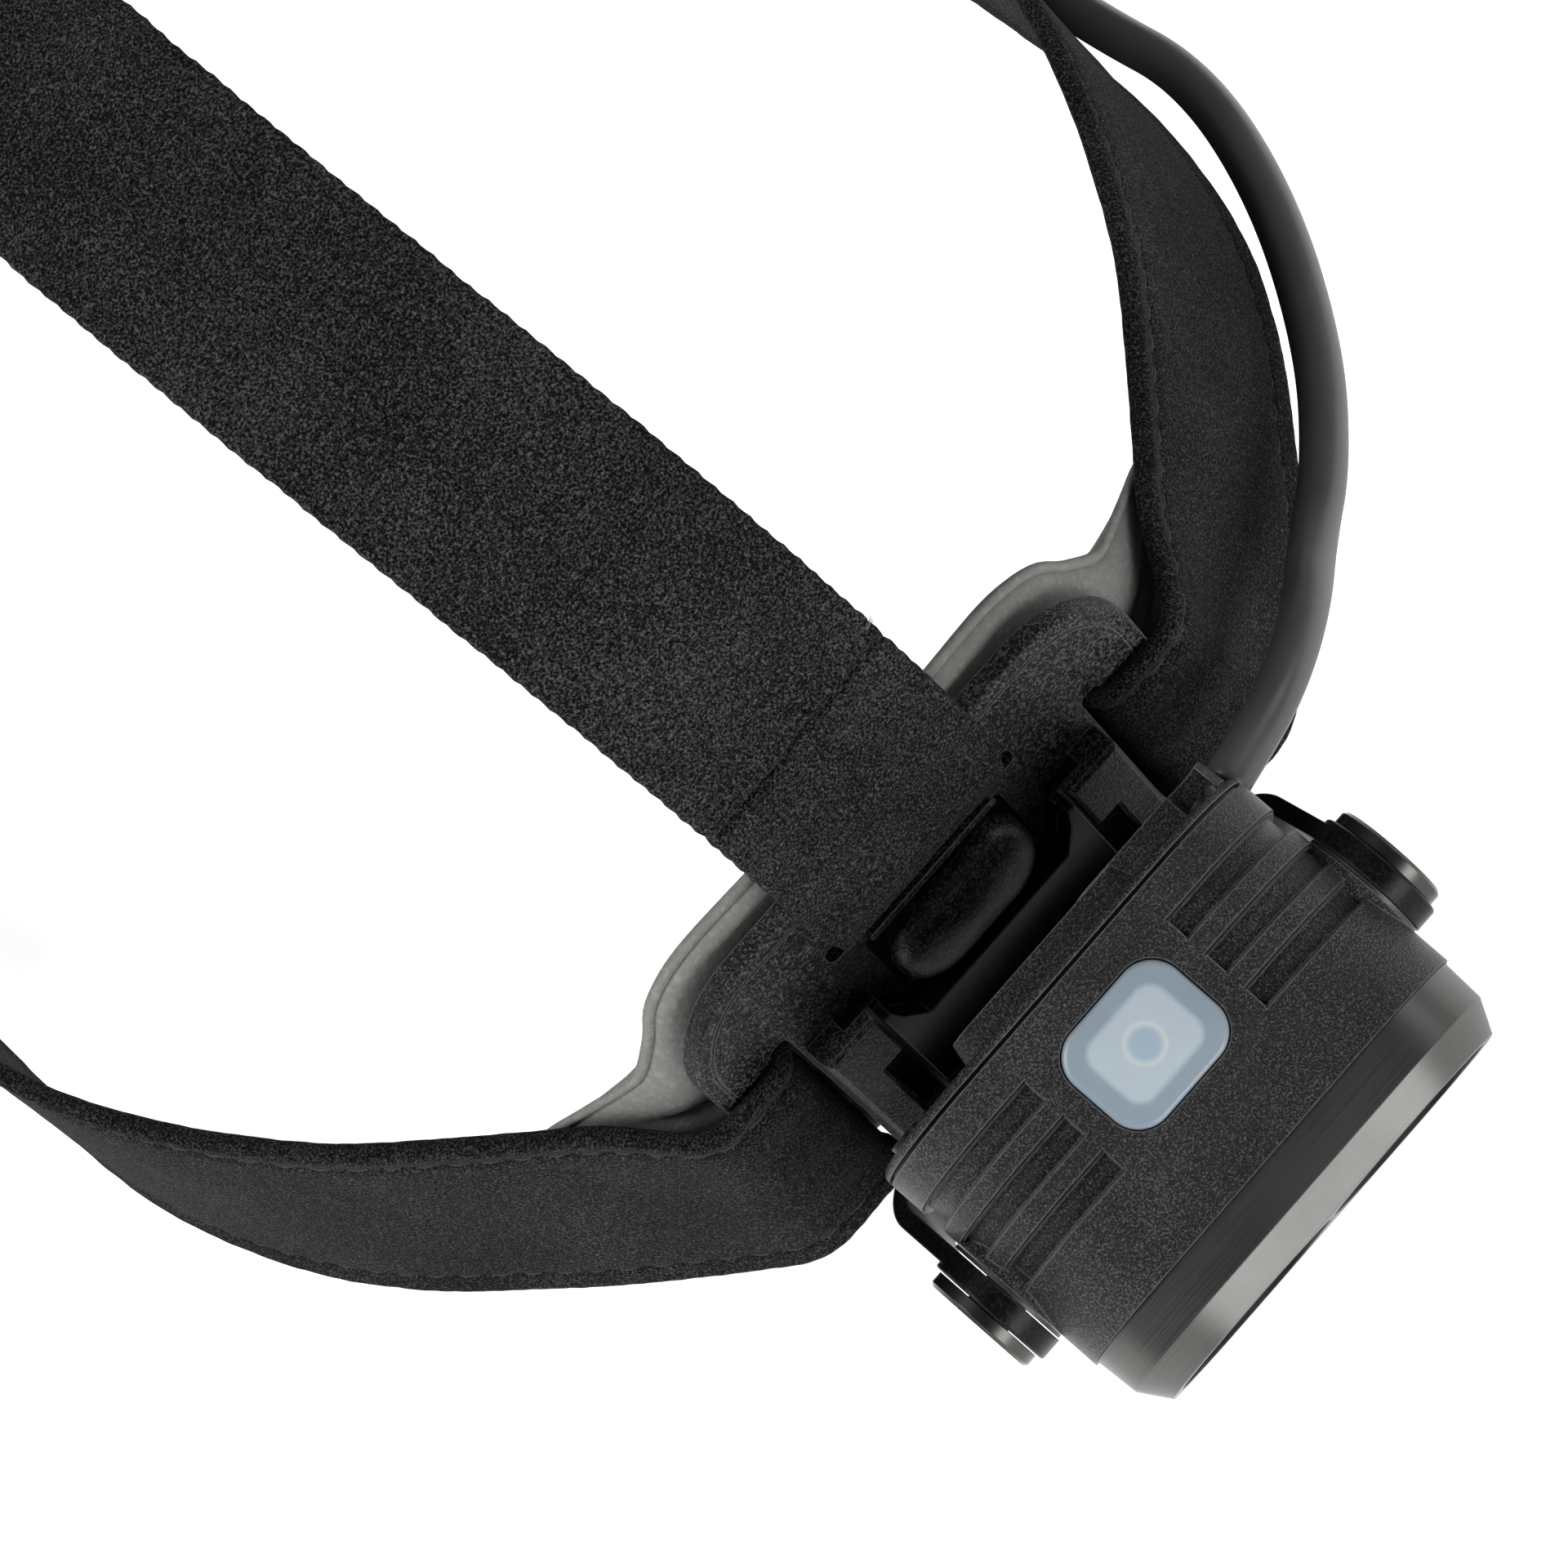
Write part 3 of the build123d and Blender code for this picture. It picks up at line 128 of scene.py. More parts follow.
# --- looks -------------------------------------------------------------------
class Look:
    """A material, built backwards from its shader."""

    def __init__(self, name, **sockets):
        self.material = bpy.data.materials.new(name)
        self.material.use_nodes = True
        self.tree = self.material.node_tree
        self.shader = self.tree.nodes["Principled BSDF"]
        self.place = self.node("ShaderNodeTexCoord").outputs["Object"]
        self.normal = None
        self.edge = None
        for socket, value in sockets.items():
            self.shader.inputs[socket.replace("_", " ")].default_value = value

    def node(self, kind, inputs=None, **settings):
        made = self.tree.nodes.new(kind)
        for key, value in settings.items():
            setattr(made, key, value)
        for key, value in (inputs or {}).items():
            if isinstance(value, bpy.types.NodeSocket):
                self.tree.links.new(value, made.inputs[key])
            else:
                made.inputs[key].default_value = value
        return made

    def math(self, operation, *inputs):
        return self.node("ShaderNodeMath", dict(enumerate(inputs)), operation=operation).outputs[0]

    def add(self, a, b):
        return self.math("ADD", a, b)

    def times(self, a, b):
        return self.math("MULTIPLY", a, b)

    def vector(self, operation, *inputs, output="Vector"):
        made = self.node("ShaderNodeVectorMath", dict(enumerate(inputs)), operation=operation)
        return made.outputs[output]

    def along(self, direction):
        """Distance along a direction, in metres."""
        return self.vector("DOT_PRODUCT", self.place, tuple(direction), output="Value")

    def noise(self, scale, detail=2.0, roughness=0.5, place=None):
        inputs = {"Vector": place or self.place, "Scale": scale, "Detail": detail, "Roughness": roughness}
        return self.node("ShaderNodeTexNoise", inputs).outputs[0]

    def cells(self, scale):
        return self.node("ShaderNodeTexVoronoi", {"Vector": self.place, "Scale": scale}).outputs["Distance"]

    def spread(self, value, low, high, to_low=0.0, to_high=1.0):
        inputs = dict(enumerate((value, low, high, to_low, to_high)))
        return self.node("ShaderNodeMapRange", inputs).outputs[0]

    def mix(self, share, a, b):
        """From colour a to colour b; either may be a socket."""
        a, b = (c if isinstance(c, bpy.types.NodeSocket) else (*c, 1) for c in (a, b))
        return self.node("ShaderNodeMix", {0: share, 6: a, 7: b}, data_type="RGBA").outputs[2]

    def colour(self, socket):
        self.tree.links.new(socket, self.shader.inputs["Base Color"])

    def rough(self, socket):
        self.tree.links.new(socket, self.shader.inputs["Roughness"])

    def face(self, normal):
        self.normal = normal
        self.tree.links.new(normal, self.shader.inputs["Normal"])

    def rounded(self, radius_mm):
        """Softens the look of hard edges, as a moulding's small radii do, and finds them for a painted
        highlight.
        """
        self.face(self.node("ShaderNodeBevel", {"Radius": radius_mm * MM}, samples=4).outputs[0])
        true = self.node("ShaderNodeNewGeometry").outputs["Normal"]
        same = self.vector("DOT_PRODUCT", self.normal, true, output="Value")
        # The edges, where the softened normal leaves the true one; grained() paints them lighter as a painted
        # highlight.
        self.edge = self.spread(same, 0.985, 0.86)
        return self

    def bump(self, height, strength, depth_mm):
        inputs = {"Strength": strength, "Distance": depth_mm * MM, "Height": height}
        if self.normal is not None:
            inputs["Normal"] = self.normal
        self.face(self.node("ShaderNodeBump", inputs).outputs[0])


def grained(name, dark, light, grain_mm, roughness, strength, depth_mm, edge_mm=0.3, specular=0.3, edge_highlight_gain=2.0):
    """Moulded or blasted black surface: sandy grain, faint clouds, rougher and smoother patches."""
    look = Look(name, Specular_IOR_Level=specular).rounded(edge_mm)
    grain = look.noise(1000 / grain_mm, 2.0, 0.6)
    clouds = look.noise(60, 3.0)
    # The grain's colour runs from painted shade in its hollows to a paler painted glint on its tops.
    share = look.spread(look.add(look.times(grain, 0.8), look.times(clouds, 0.2)), 0.45, 0.63)
    flat = look.mix(look.math("POWER", share, 1.8), dark, light)
    # Edges are painted lighter than the grain by a factor: a painted highlight along them.
    look.colour(look.mix(look.edge, flat, [min(1, c * edge_highlight_gain) for c in light]))
    look.rough(look.spread(clouds, 0.3, 0.7, roughness - 0.05, roughness + 0.06))
    look.bump(grain, strength, depth_mm)
    return look.material


def brushed(name, colour, roughness, direction, line_mm, strength, centre=None):
    """Metal with fine lines: straight ones across a direction, or rings about the x axis through centre."""
    look = Look(name, Metallic=1.0).rounded(0.14)
    if centre is None:
        lines = look.along(direction)
        weak = 30.0
    else:
        off = look.vector("SUBTRACT", look.place, tuple(c * MM for c in centre))
        lines = look.vector("LENGTH", look.vector("MULTIPLY", off, (0, 1, 1)), output="Value")
        weak = 12.0
    place = look.node("ShaderNodeCombineXYZ", {0: look.times(lines, 1000 / line_mm),
                                               1: look.times(look.along((1, 0, 0)), weak),
                                               2: look.times(look.along((0, 0.3, 1)), weak)}).outputs[0]
    grain = look.noise(1.0, 4.0, 0.7, place)
    clouds = look.noise(90, 3.0)
    share = look.spread(grain, 0.3, 0.7)
    look.colour(look.mix(share, [c * 0.82 for c in colour], [c * 1.15 for c in colour]))
    look.rough(look.spread(look.add(grain, clouds), 0.7, 1.3, roughness - 0.06, roughness + 0.08))
    look.bump(grain, strength, 0.03)
    return look.material


def fabric(name, dark, light, loop_mm, strength, depth_mm, sheen):
    """Loop-faced webbing: small curled loops, each lit differently, over faint clouds and wear."""
    look = Look(name, Roughness=0.85, Specular_IOR_Level=0.06, Sheen_Weight=sheen, Sheen_Roughness=0.4)
    loops = look.noise(1000 / loop_mm, 3.0, 0.75)
    tufts = look.cells(760 / loop_mm)
    clouds = look.noise(70, 4.0, 0.6)
    faint = look.add(look.times(clouds, 0.10), look.times(tufts, 0.10))
    share = look.spread(look.add(look.times(loops, 0.86), faint), 0.45, 0.68)
    look.colour(look.mix(look.math("POWER", share, 2.0), dark, light))
    look.bump(clouds, 0.3, 0.6)
    look.bump(look.add(loops, look.times(tufts, 0.5)), strength, depth_mm)
    return look.material


def plain(name, colour, roughness, grain_mm=0.3, strength=0.15, **sockets):
    """A simple surface with a little grain and clouding."""
    look = Look(name, **sockets)
    clouds = look.noise(120, 3.0)
    share = look.spread(clouds, 0.3, 0.7)
    look.colour(look.mix(share, [c * 0.88 for c in colour], [min(1, c * 1.1) for c in colour]))
    look.rough(look.spread(clouds, 0.3, 0.7, max(0.02, roughness - 0.05), roughness + 0.05))
    look.bump(look.noise(1000 / grain_mm, 2.0), strength, 0.05)
    return look.material


def button_look():
    """Milky silicone: a darker rim, a paler lit panel below, and a ring round the switch's plunger."""
    look = Look("button_silicone", Roughness=0.38, Subsurface_Weight=0.15, Subsurface_Scale=0.002,
                Coat_Weight=0.15, Coat_Roughness=0.25)
    middle = PIVOT.dot(NOSE) * MM + BUTTON_Z * MM
    x = look.math("ABSOLUTE", look.along((1, 0, 0)))
    y = look.math("ABSOLUTE", look.math("SUBTRACT", look.along(NOSE), middle))

    def inside(half_x, half_y, corner, soft):
        """1 inside a rounded rectangle about the button's middle, 0 outside."""
        qx = look.math("MAXIMUM", look.math("SUBTRACT", x, (half_x - corner) * MM), 0.0)
        qy = look.math("MAXIMUM", look.math("SUBTRACT", y, (half_y - corner) * MM), 0.0)
        far = look.math("SQRT", look.add(look.times(qx, qx), look.times(qy, qy)))
        return look.spread(far, (corner - soft) * MM, (corner + soft) * MM, 1.0, 0.0)

    edge = inside(BUTTON_W / 2, BUTTON_L / 2, BUTTON_CORNER, 0.35)
    panel = inside(4.9, 3.9, 1.9, 0.3)
    ring = inside(2.1, 2.1, 2.1, 0.18)
    dot = inside(1.65, 1.65, 1.65, 0.35)
    base = look.mix(edge, (0.13, 0.16, 0.185), (0.222, 0.284, 0.336))
    base = look.mix(panel, base, (0.41, 0.48, 0.533))
    base = look.mix(ring, base, (0.525, 0.568, 0.576))
    base = look.mix(dot, base, (0.31, 0.404, 0.485))
    clouds = look.noise(260, 3.0)
    look.colour(look.mix(look.spread(clouds, 0.2, 0.8, 0.0, 0.2), base, (0.36, 0.41, 0.45)))
    look.bump(look.noise(3600, 2.0), 0.3, 0.06)
    return look.material


# The colours of the hollows in a grain or a pile
SHADE, COOL_SHADE, PILE_SHADE = (0.002, 0.002, 0.002), (0.002, 0.002, 0.0022), (0.001, 0.001, 0.0012)

# Each grained look paints its edges lighter by a factor: a painted highlight, strongest on the yoke.
casing = grained("casing_grain", COOL_SHADE, (0.092, 0.092, 0.093), grain_mm=0.21, roughness=0.29,
                 strength=1.0, depth_mm=0.34, specular=0.26)
casing_smooth = grained("yoke_satin", COOL_SHADE, (0.010, 0.010, 0.0105), grain_mm=0.4, roughness=0.30,
                        strength=0.3, depth_mm=0.08, specular=0.12, edge_highlight_gain=7.0)
plate_grain = grained("plate_grain", SHADE, (0.095, 0.095, 0.095), grain_mm=0.28, roughness=0.38,
                      strength=0.9, depth_mm=0.2, edge_mm=0.25, specular=0.2)
tongue_grain = grained("tongue_grain", SHADE, (0.085, 0.085, 0.085), grain_mm=0.3, roughness=0.34,
                       strength=0.6, depth_mm=0.12, edge_mm=0.2, specular=0.35, edge_highlight_gain=1.6)
battery_grain = grained("battery_grain", (0.002, 0.002, 0.0025), (0.05, 0.05, 0.051), grain_mm=0.26,
                        roughness=0.40, strength=0.7, depth_mm=0.18, specular=0.15, edge_highlight_gain=1.6)
bezel_metal = brushed("bezel_brushed", (0.108, 0.107, 0.104), 0.39, NOSE, 0.09, 0.35)
screw_metal = brushed("pivot_brushed", (0.06, 0.059, 0.056), 0.30, None, 0.08, 0.3, PIVOT)
steel = brushed("screw_black_steel", (0.03, 0.03, 0.031), 0.42, (0, 0, 1), 0.12, 0.2)
velour = fabric("strap_velour", PILE_SHADE, (0.13, 0.13, 0.132), 0.25, 0.95, 0.42, sheen=0.02)
side_velour = fabric("side_strap_velour", PILE_SHADE, (0.092, 0.092, 0.094), 0.25, 0.95, 0.38, sheen=0.02)
pad_cloth = fabric("pad_cloth", (0.20, 0.203, 0.192), (0.27, 0.27, 0.255), 0.7, 0.3, 0.2, sheen=0.1)
thread = plain("thread", (0.014, 0.014, 0.015), 0.7, 0.2, 0.4)
frayed_fibre = plain("frayed_fibre", (0.16, 0.13, 0.10), 0.8)
cable_rubber = plain("cable_rubber", (0.058, 0.058, 0.058), 0.36, 0.25, 0.12, Specular_IOR_Level=0.45)
seal = plain("seal_rubber", (0.012, 0.012, 0.012), 0.6)
switch_black = plain("switch_black", (0.02, 0.02, 0.02), 0.4)
board = plain("board_green", (0.02, 0.13, 0.06), 0.35)
chrome = plain("reflector_chrome", (0.88, 0.88, 0.9), 0.07, 0.9, 0.06, Metallic=1.0)
sleeve = plain("cell_sleeve", (0.07, 0.16, 0.38), 0.25)
key_grey = plain("key_rubber", (0.07, 0.075, 0.08), 0.5)
lens = plain("lens_glass", (0.97, 0.98, 0.985), 0.06, 0.9, 0.01, Transmission_Weight=1.0, IOR=1.49)
phosphor = plain("led_phosphor", (0.9, 0.72, 0.12), 0.35, 0.2, 0.1)
button_silicone = button_look()


def paint(look, *names):
    for name in names:
        NODES[name].data.materials.clear()
        NODES[name].data.materials.append(look)


paint(casing, "lamp_body", "rear_cover")
paint(casing_smooth, "yoke")
paint(bezel_metal, "front_bezel")
paint(screw_metal, "pivot_screw_left", "pivot_screw_right")
paint(plate_grain, "front_plate", "rear_plate", "side_slider_left", "side_slider_right", "top_slider")
paint(tongue_grain, "release_tongue")
paint(battery_grain, "battery_tray", "battery_cover")
paint(lens, "front_lens")
paint(chrome, "reflector_left", "reflector_right")
paint(phosphor, "led_left", "led_right")
paint(board, "led_board", "driver_board", "battery_board")
paint(seal, "lens_gasket", "rear_cover_gasket", "battery_gasket")
paint(switch_black, "tact_switch", "friction_washer_left", "friction_washer_right", "battery_socket")
paint(steel, "case_screws", "tray_screws", "cover_screws")
paint(sleeve, "battery_cell_upper", "battery_cell_lower")
paint(key_grey, "battery_button")
paint(cable_rubber, "cable_gland", "cable_plug")


# --- mesh helpers --------------------------------------------------------------
def bands(rows, count):
    """Faces between rows of points, each row a closed ring of count points."""
    return [(i * count + j, i * count + (j + 1) % count, (i + 1) * count + (j + 1) % count, (i + 1) * count + j)
            for i in range(rows - 1) for j in range(count)]


def flipped(faces):
    return [tuple(reversed(f)) for f in faces]


def skin(rings):
    """Points and faces of a closed tube through rings of equal count, capped at both ends."""
    count = len(rings[0])
    points = [p for ring in rings for p in ring]
    caps = [tuple(reversed(range(count))), tuple(range((len(rings) - 1) * count, len(rings) * count))]
    return points, bands(len(rings), count) + caps


def join(points, faces, more, more_faces):
    """Puts a second set of points and faces behind the first."""
    faces += [tuple(i + len(points) for i in f) for f in more_faces]
    points += more


def walk(start, heading, bends, step):
    """Points, headings and distances along a run of tangent arcs; each bend is (length, turn in degrees)."""
    x, y = start
    h, gone = radians(heading), 0.0
    out = [(x, y, h, gone)]
    for length, turn in bends:
        count = max(1, round(length / step))
        d, k = length / count, radians(turn) / count
        for _ in range(count):
            x, y = x + cos(h + k / 2) * d, y + sin(h + k / 2) * d
            h, gone = h + k, gone + d
            out.append((x, y, h, gone))
    return out


def ramp(value, low, high):
    """Rises smoothly from 0 at low to 1 at high."""
    t = min(1.0, max(0.0, (value - low) / (high - low)))
    return t * t * (3 - 2 * t)


def bell(value, middle, width):
    return exp(-((value - middle) / width) ** 2)


# --- straps: hems, seams and stitches --------------------------------------------
def stations(width, seams):
    """Where a strap's section has points, from its top edge to its bottom one: close together at the seams."""
    half = width / 2
    near = [0.5, 1.0, 1.6, 2.2, 2.6, 3.0, 3.4, 4.0, 5.0] if seams else [0.5, 1.0, 1.6, 3.0, 5.0]
    middle = list(np.linspace(half - 6.5, -half + 6.5, 6))
    return [half - d for d in near] + middle + [-half + d for d in reversed(near)]


def strap_rings(centres, width, shape, seams, ripple, narrow=None):
    """Rings of a strap. centres are (point, out, across, distance); shape(distance, across) gives how far the
    middle moves out and how many times as thick it is. ripple is how far the two edges wave; narrow(distance)
    gathers the width."""
    ws = stations(width, seams)
    half = width / 2
    rings = []

    def bulge(w):
        """A sewn edge is full at its hem and drawn in along its seam."""
        if not seams:
            return 0.0
        return sum(0.42 * bell(d, 0.9, 0.8) - 0.40 * bell(d, SEAM, 0.34) for d in (half - w, half + w))

    for point, out, across, gone in centres:
        wave = sin(2 * pi * gone / 2.2) + 1.2 * noise.noise((gone / 5, 3.0, width))
        gather = narrow(gone) if narrow else 1.0

        def at(w, t):
            near = max(0.0, 1 - (half - abs(w)) / 1.8)
            w_moved = w * gather + near * wave * (ripple[0] if w > 0 else -ripple[1])
            lift, thick = shape(gone, w)
            soft = (0.22 * noise.noise((gone / 13, w / 9, width))
                    + 0.07 * noise.noise((gone / 2.6, w / 2.4, 5.0)))
            return point + across * w_moved + out * (lift + soft + t * thick)

        outer = [at(w, STRAP_T / 2 + bulge(w)) for w in ws]
        inner = [at(w, -STRAP_T / 2 - 0.5 * bulge(w)) for w in reversed(ws)]
        turn_low = [at(-half + 0.12, 0.62), at(-half, 0.0), at(-half + 0.12, -0.62)]
        turn_high = [at(half - 0.12, -0.62), at(half, 0.0), at(half - 0.12, 0.62)]
        rings.append(outer + turn_low + inner + turn_high)
    return rings


# A stitch's sections: how far along it, how far out, and its share of the full radius
STITCH = ((0, -0.12, 0.5), (0.12, 0.05, 0.9), (0.5, 0.16, 1.0), (0.88, 0.05, 0.9), (1, -0.12, 0.5))


def seam_stitches(spots, pitch=2.9, length=2.1, radius=0.21):
    """A row of thread stitches. spots are (point, out) close together along the seam."""
    points, faces = [], []
    gone, due, start = 0.0, 1.0, None
    for (a, _), (b, out_b) in zip(spots, spots[1:]):
        gone += (b - a).length
        if start is None and gone >= due:
            start, first, out = gone, b, out_b
        if start is not None and gone - start >= length:
            side = (b - first).normalized().cross(out).normalized()
            rings = []
            for share, lift, r in STITCH:
                middle = first.lerp(b, share) + out * lift
                rings.append([middle + (side * cos(t) + out * sin(t)) * radius * r
                              for t in (2 * pi * k / 6 for k in range(6))])
            join(points, faces, *skin(rings))
            due, start = gone + pitch - length, None
    return points, faces


# --- side straps ------------------------------------------------------------------
NAPE_IN = CHEEK_R * (1 - cos(radians(25))) + BACK_R * (cos(radians(25)) - cos(radians(60)))
NAPE_R = (SIDE_X - NAPE_IN - EAR_END) / sin(radians(30))
EAR_RUN = EAR_END - SLOT_X - SLOT_BEND
OUT_OF_SLOT = [(1.0, 0), (SLOT_BEND * pi / 2, 90), (EAR_RUN, 0)]
SIDE_BENDS = [*OUT_OF_SLOT, (7 * radians(45), 45), (330 * radians(6), 6), (82 * radians(39), 39), (48.2, 0),
              (CHEEK_R * radians(25), 25), (BACK_R * radians(35), 35), (NAPE_R * radians(30), 30),
              *reversed(OUT_OF_SLOT)]
EAR_AT = 1.0 + SLOT_BEND * pi / 2 + EAR_RUN


def side_strap(name, side, top_in, low_out):
    """side is 1 on the wearer's left. Towards the temple the top edge leans in and the lower one stands out."""
    def shape(gone, w):
        d = gone - EAR_AT
        flare = ramp(d, -2, 18) * (1 - ramp(d, 52, 98))
        high = 0.5 + w / SIDE_W
        lean = flare * (high * -top_in + (1 - high) * low_out)
        pucker = 0.5 * bell(d, -4, 5.0) * sin(w * 0.9) * 0.5
        return lean + pucker, 1.0

    centres = [(Vector((side * x, y, 0)), Vector((side * sin(h), -cos(h), 0)), Z, gone)
               for x, y, h, gone in walk((SLOT_X, -SLOT_Y), -90, SIDE_BENDS, SIDE_STEP)]
    rings = strap_rings(centres, SIDE_W, shape, True, (0.05, 0.08))
    points, faces = skin(rings)
    strap = piece(f"{name}_webbing", points, faces if side > 0 else flipped(faces), side_velour)
    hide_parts(name)

    ws = stations(SIDE_W, True)
    points, faces = [], []
    for seam in (SIDE_W / 2 - SEAM, SEAM - SIDE_W / 2):
        index = min(range(len(ws)), key=lambda i: abs(ws[i] - seam))
        spots = [(ring[index], centre[1]) for ring, centre in zip(rings, centres)][8:-8]
        join(points, faces, *seam_stitches(spots))
    piece(f"{name}_stitches", points, faces, thread)


side_strap("side_strap_left", 1, 3.3, 2.9)
side_strap("side_strap_right", -1, 3.1, 0.5)


# --- top strap ----------------------------------------------------------------------
def crown_radii(rise, shoulder):
    """Radii of two tangent arcs from the strap's upright run to the crown."""
    s, c = sin(radians(shoulder)), cos(radians(shoulder))
    det = (1 - s) * (1 - c) - s * c
    return (STRAP_Y * (1 - c) - rise * s) / det, ((1 - s) * rise - c * STRAP_Y) / det


def top_strap():
    tight, wide = crown_radii(CROWN_Z - FRONT_RISE, 40)
    rear_tight, rear_wide = crown_radii(CROWN_Z - REAR_RISE, 30)
    out_of_slot = [(STRAP_Y - SLOT_Y - TOP_BEND, 0), (TOP_BEND * pi / 2, -90)]
    bends = [*out_of_slot, (FRONT_RISE - SLOT_Z - TOP_BEND, 0),
             (tight * radians(50), -50), (wide * radians(40), -40), (rear_wide * radians(30), -30),
             (rear_tight * radians(60), -60), (REAR_RISE - SLOT_Z - TOP_BEND, 0), *reversed(out_of_slot)]
    route = walk((-SLOT_Y, SLOT_Z), 180, bends, TOP_STEP)
    total = route[-1][3]
    rows = [r for k, r in enumerate(route)
            if k % FAR_RINGS == 0 or k == len(route) - 1 or abs(r[3] - FOLD_SEAM) < 3.5]

    def shape(gone, w):
        fold = 0.55 * ramp(gone, 3.2, 7) * (1 - ramp(gone, FOLD_SEAM, FOLD_END))
        crease = FOLD_SEAM + 0.5 * noise.noise((w / 2.6, 7.0, 1.0)) + 0.05 * w
        dent = 0.62 * bell(gone, crease, 0.3) * ramp(TOP_W / 2 - abs(w), 0.2, 1.0)
        arched = ramp(gone, 30, 60) * (1 - ramp(gone, total - 60, total - 40))
        curl = 0.35 * (abs(w) / (TOP_W / 2)) ** 3 * arched
        return fold / 2 - dent - curl, 1 + fold / STRAP_T

    def narrow(gone):
        notch = 0.015 * bell(gone, FOLD_SEAM, 0.8)
        return 1 - 0.08 * (1 - ramp(min(gone, total - gone), 3.5, 9.5)) - notch

    def lean(gone):
        return -3.2 * ramp(gone, 8, 120) * (1 - ramp(gone, 170, total - 45))

    centres = [(Vector((lean(gone), y, z)), Vector((0, -sin(h), cos(h))), X, gone) for y, z, h, gone in rows]
    points, faces = skin(strap_rings(centres, TOP_W, shape, False, (0.08, 0.08), narrow))
    strap = piece("top_strap_webbing", points, flipped(faces), velour)
    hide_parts("top_strap")

    index = min(range(len(centres)), key=lambda i: abs(centres[i][3] - FOLD_END))
    base, out = centres[index][:2]
    rise = (centres[index + 3][0] - base).normalized()
    points, faces = [], []
    for _ in range(FIBRES):                                # loose fibres at the fold's cut corner
        root = base + X * (TOP_W / 2 - 0.3 - 0.7 * random.random()) + out * (0.2 + 0.5 * random.random())
        way = rise * random.uniform(0.2, 0.9) + out * random.uniform(-0.2, 0.5) + X * random.uniform(0.1, 0.9)
        way.normalize()
        side = way.cross(out).normalized()
        reach = random.uniform(0.35, 1.0)
        rings = [[root + way * reach * s + side * (0.05 * cos(t)) + out * (0.05 * sin(t) + 0.12 * s * s)
                  for t in (0, 2.1, 4.2)] for s in (0, 0.5, 1)]
        join(points, faces, *skin(rings))
    piece("top_strap_fray", points, faces, frayed_fibre)


top_strap()


# --- pads ------------------------------------------------------------------------------
def smooth_outline(half, bottom, count):
    """A closed smooth line, evenly spaced, through corners given for x >= 0 from the top and mirrored in x."""
    corners = half + [(0, bottom)] + [(-x, z) for x, z in reversed(half[1:])]
    n = len(corners)
    dense = []
    for i in range(n):
        p0, p1, p2, p3 = (np.array(corners[(i + k) % n], float) for k in (-1, 0, 1, 2))
        for t in np.linspace(0, 1, 24, endpoint=False):
            dense.append(0.5 * (2 * p1 + (p2 - p0) * t + (2 * p0 - 5 * p1 + 4 * p2 - p3) * t ** 2
                                + (3 * p1 - p0 - 3 * p2 + p3) * t ** 3))
    dense = np.array(dense + [dense[0]])
    far = np.concatenate([[0], np.cumsum(np.linalg.norm(np.diff(dense, axis=0), axis=1))])
    spots = np.linspace(0, far[-1], count, endpoint=False)
    return np.stack([np.interp(spots, far, dense[:, k]) for k in (0, 1)], 1)


def pad(name, node, outline, sides_at, channels):
    """A crowned foam pad. sides_at(x) gives its outer and head sides' y; channels are pressed in lines of
    constant z."""
    centre = outline.mean(0)
    count = len(outline)
    shares = [0.12, 0.25, 0.38, 0.5, 0.6, 0.7, 0.78, 0.85, 0.9, 0.94, 0.97, 0.99, 1.0]
    layers = [(s, 1) for s in shares] + [(s, -1) for s in reversed(shares[:-1])]

    def at(x, z, share, way):
        outer, head = sides_at(x)
        middle, half = (outer + head) / 2, abs(head - outer) / 2
        full = max(0.0, 1 - share ** 6) ** 0.5
        press = sum(bell(z, c, 1.1) for c in channels) * 0.38 * (1 - share ** 4)
        soft = 0.16 * noise.noise((x / 9, z / 9, way * 4.0))
        towards = 1 if head > outer else -1
        return Vector((x, middle + way * towards * (half * full * (1 - press) + soft * full), z))

    points = [at(*(centre + (spot - centre) * share), share, way) for share, way in layers for spot in outline]
    faces = bands(len(layers), count)
    for base, way, turned in ((0, 1, True), ((len(layers) - 1) * count, -1, False)):
        middle = len(points)
        points.append(at(*centre, 0.0, way))
        for j in range(count):
            k = (j + 1) % count
            faces.append((middle, base + k, base + j) if turned else (middle, base + j, base + k))
    outer, head = sides_at(0)
    made = piece(name, points, flipped(faces) if outer < head else faces, pad_cloth)
    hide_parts(node)

    rings = []
    for i in range(count + 1):                             # the binding sewn round its edge
        x, z = outline[i % count]
        bx, bz = outline[(i + 1) % count] - outline[i - 1]
        side = Vector((bz, 0, -bx)).normalized()
        middle = Vector((x, sum(sides_at(x)) / 2, z)) - side * 0.1
        rings.append([middle + (side * cos(t) + Vector((0, 1, 0)) * sin(t)) * 0.62
                      for t in (2 * pi * k / 8 for k in range(8))])
    points, faces = skin(rings)
    piece(f"{name}_binding", points, faces, pad_cloth)


HEAD_R = (47.0 ** 2 + 10.0 ** 2) / 20.0                    # the front pad's head side is this arc


def front_sides(x):
    """The front pad's sides: flat behind the plate, then back round the head."""
    far = abs(x)
    if far < 29:
        outer = -94.3
    elif far < 33.5:
        outer = -94.3 + 1.6 * (far - 29) / 4.5
    else:
        outer = -92.7 + 13.4 * (far - 33.5) / 13.5
    head = -89.3 + HEAD_R - (HEAD_R ** 2 - far ** 2) ** 0.5
    return outer, max(head, outer + 0.5)


def rear_sides(x):
    return 94.3, 89.4 + 1.9 * (x / 30) ** 2


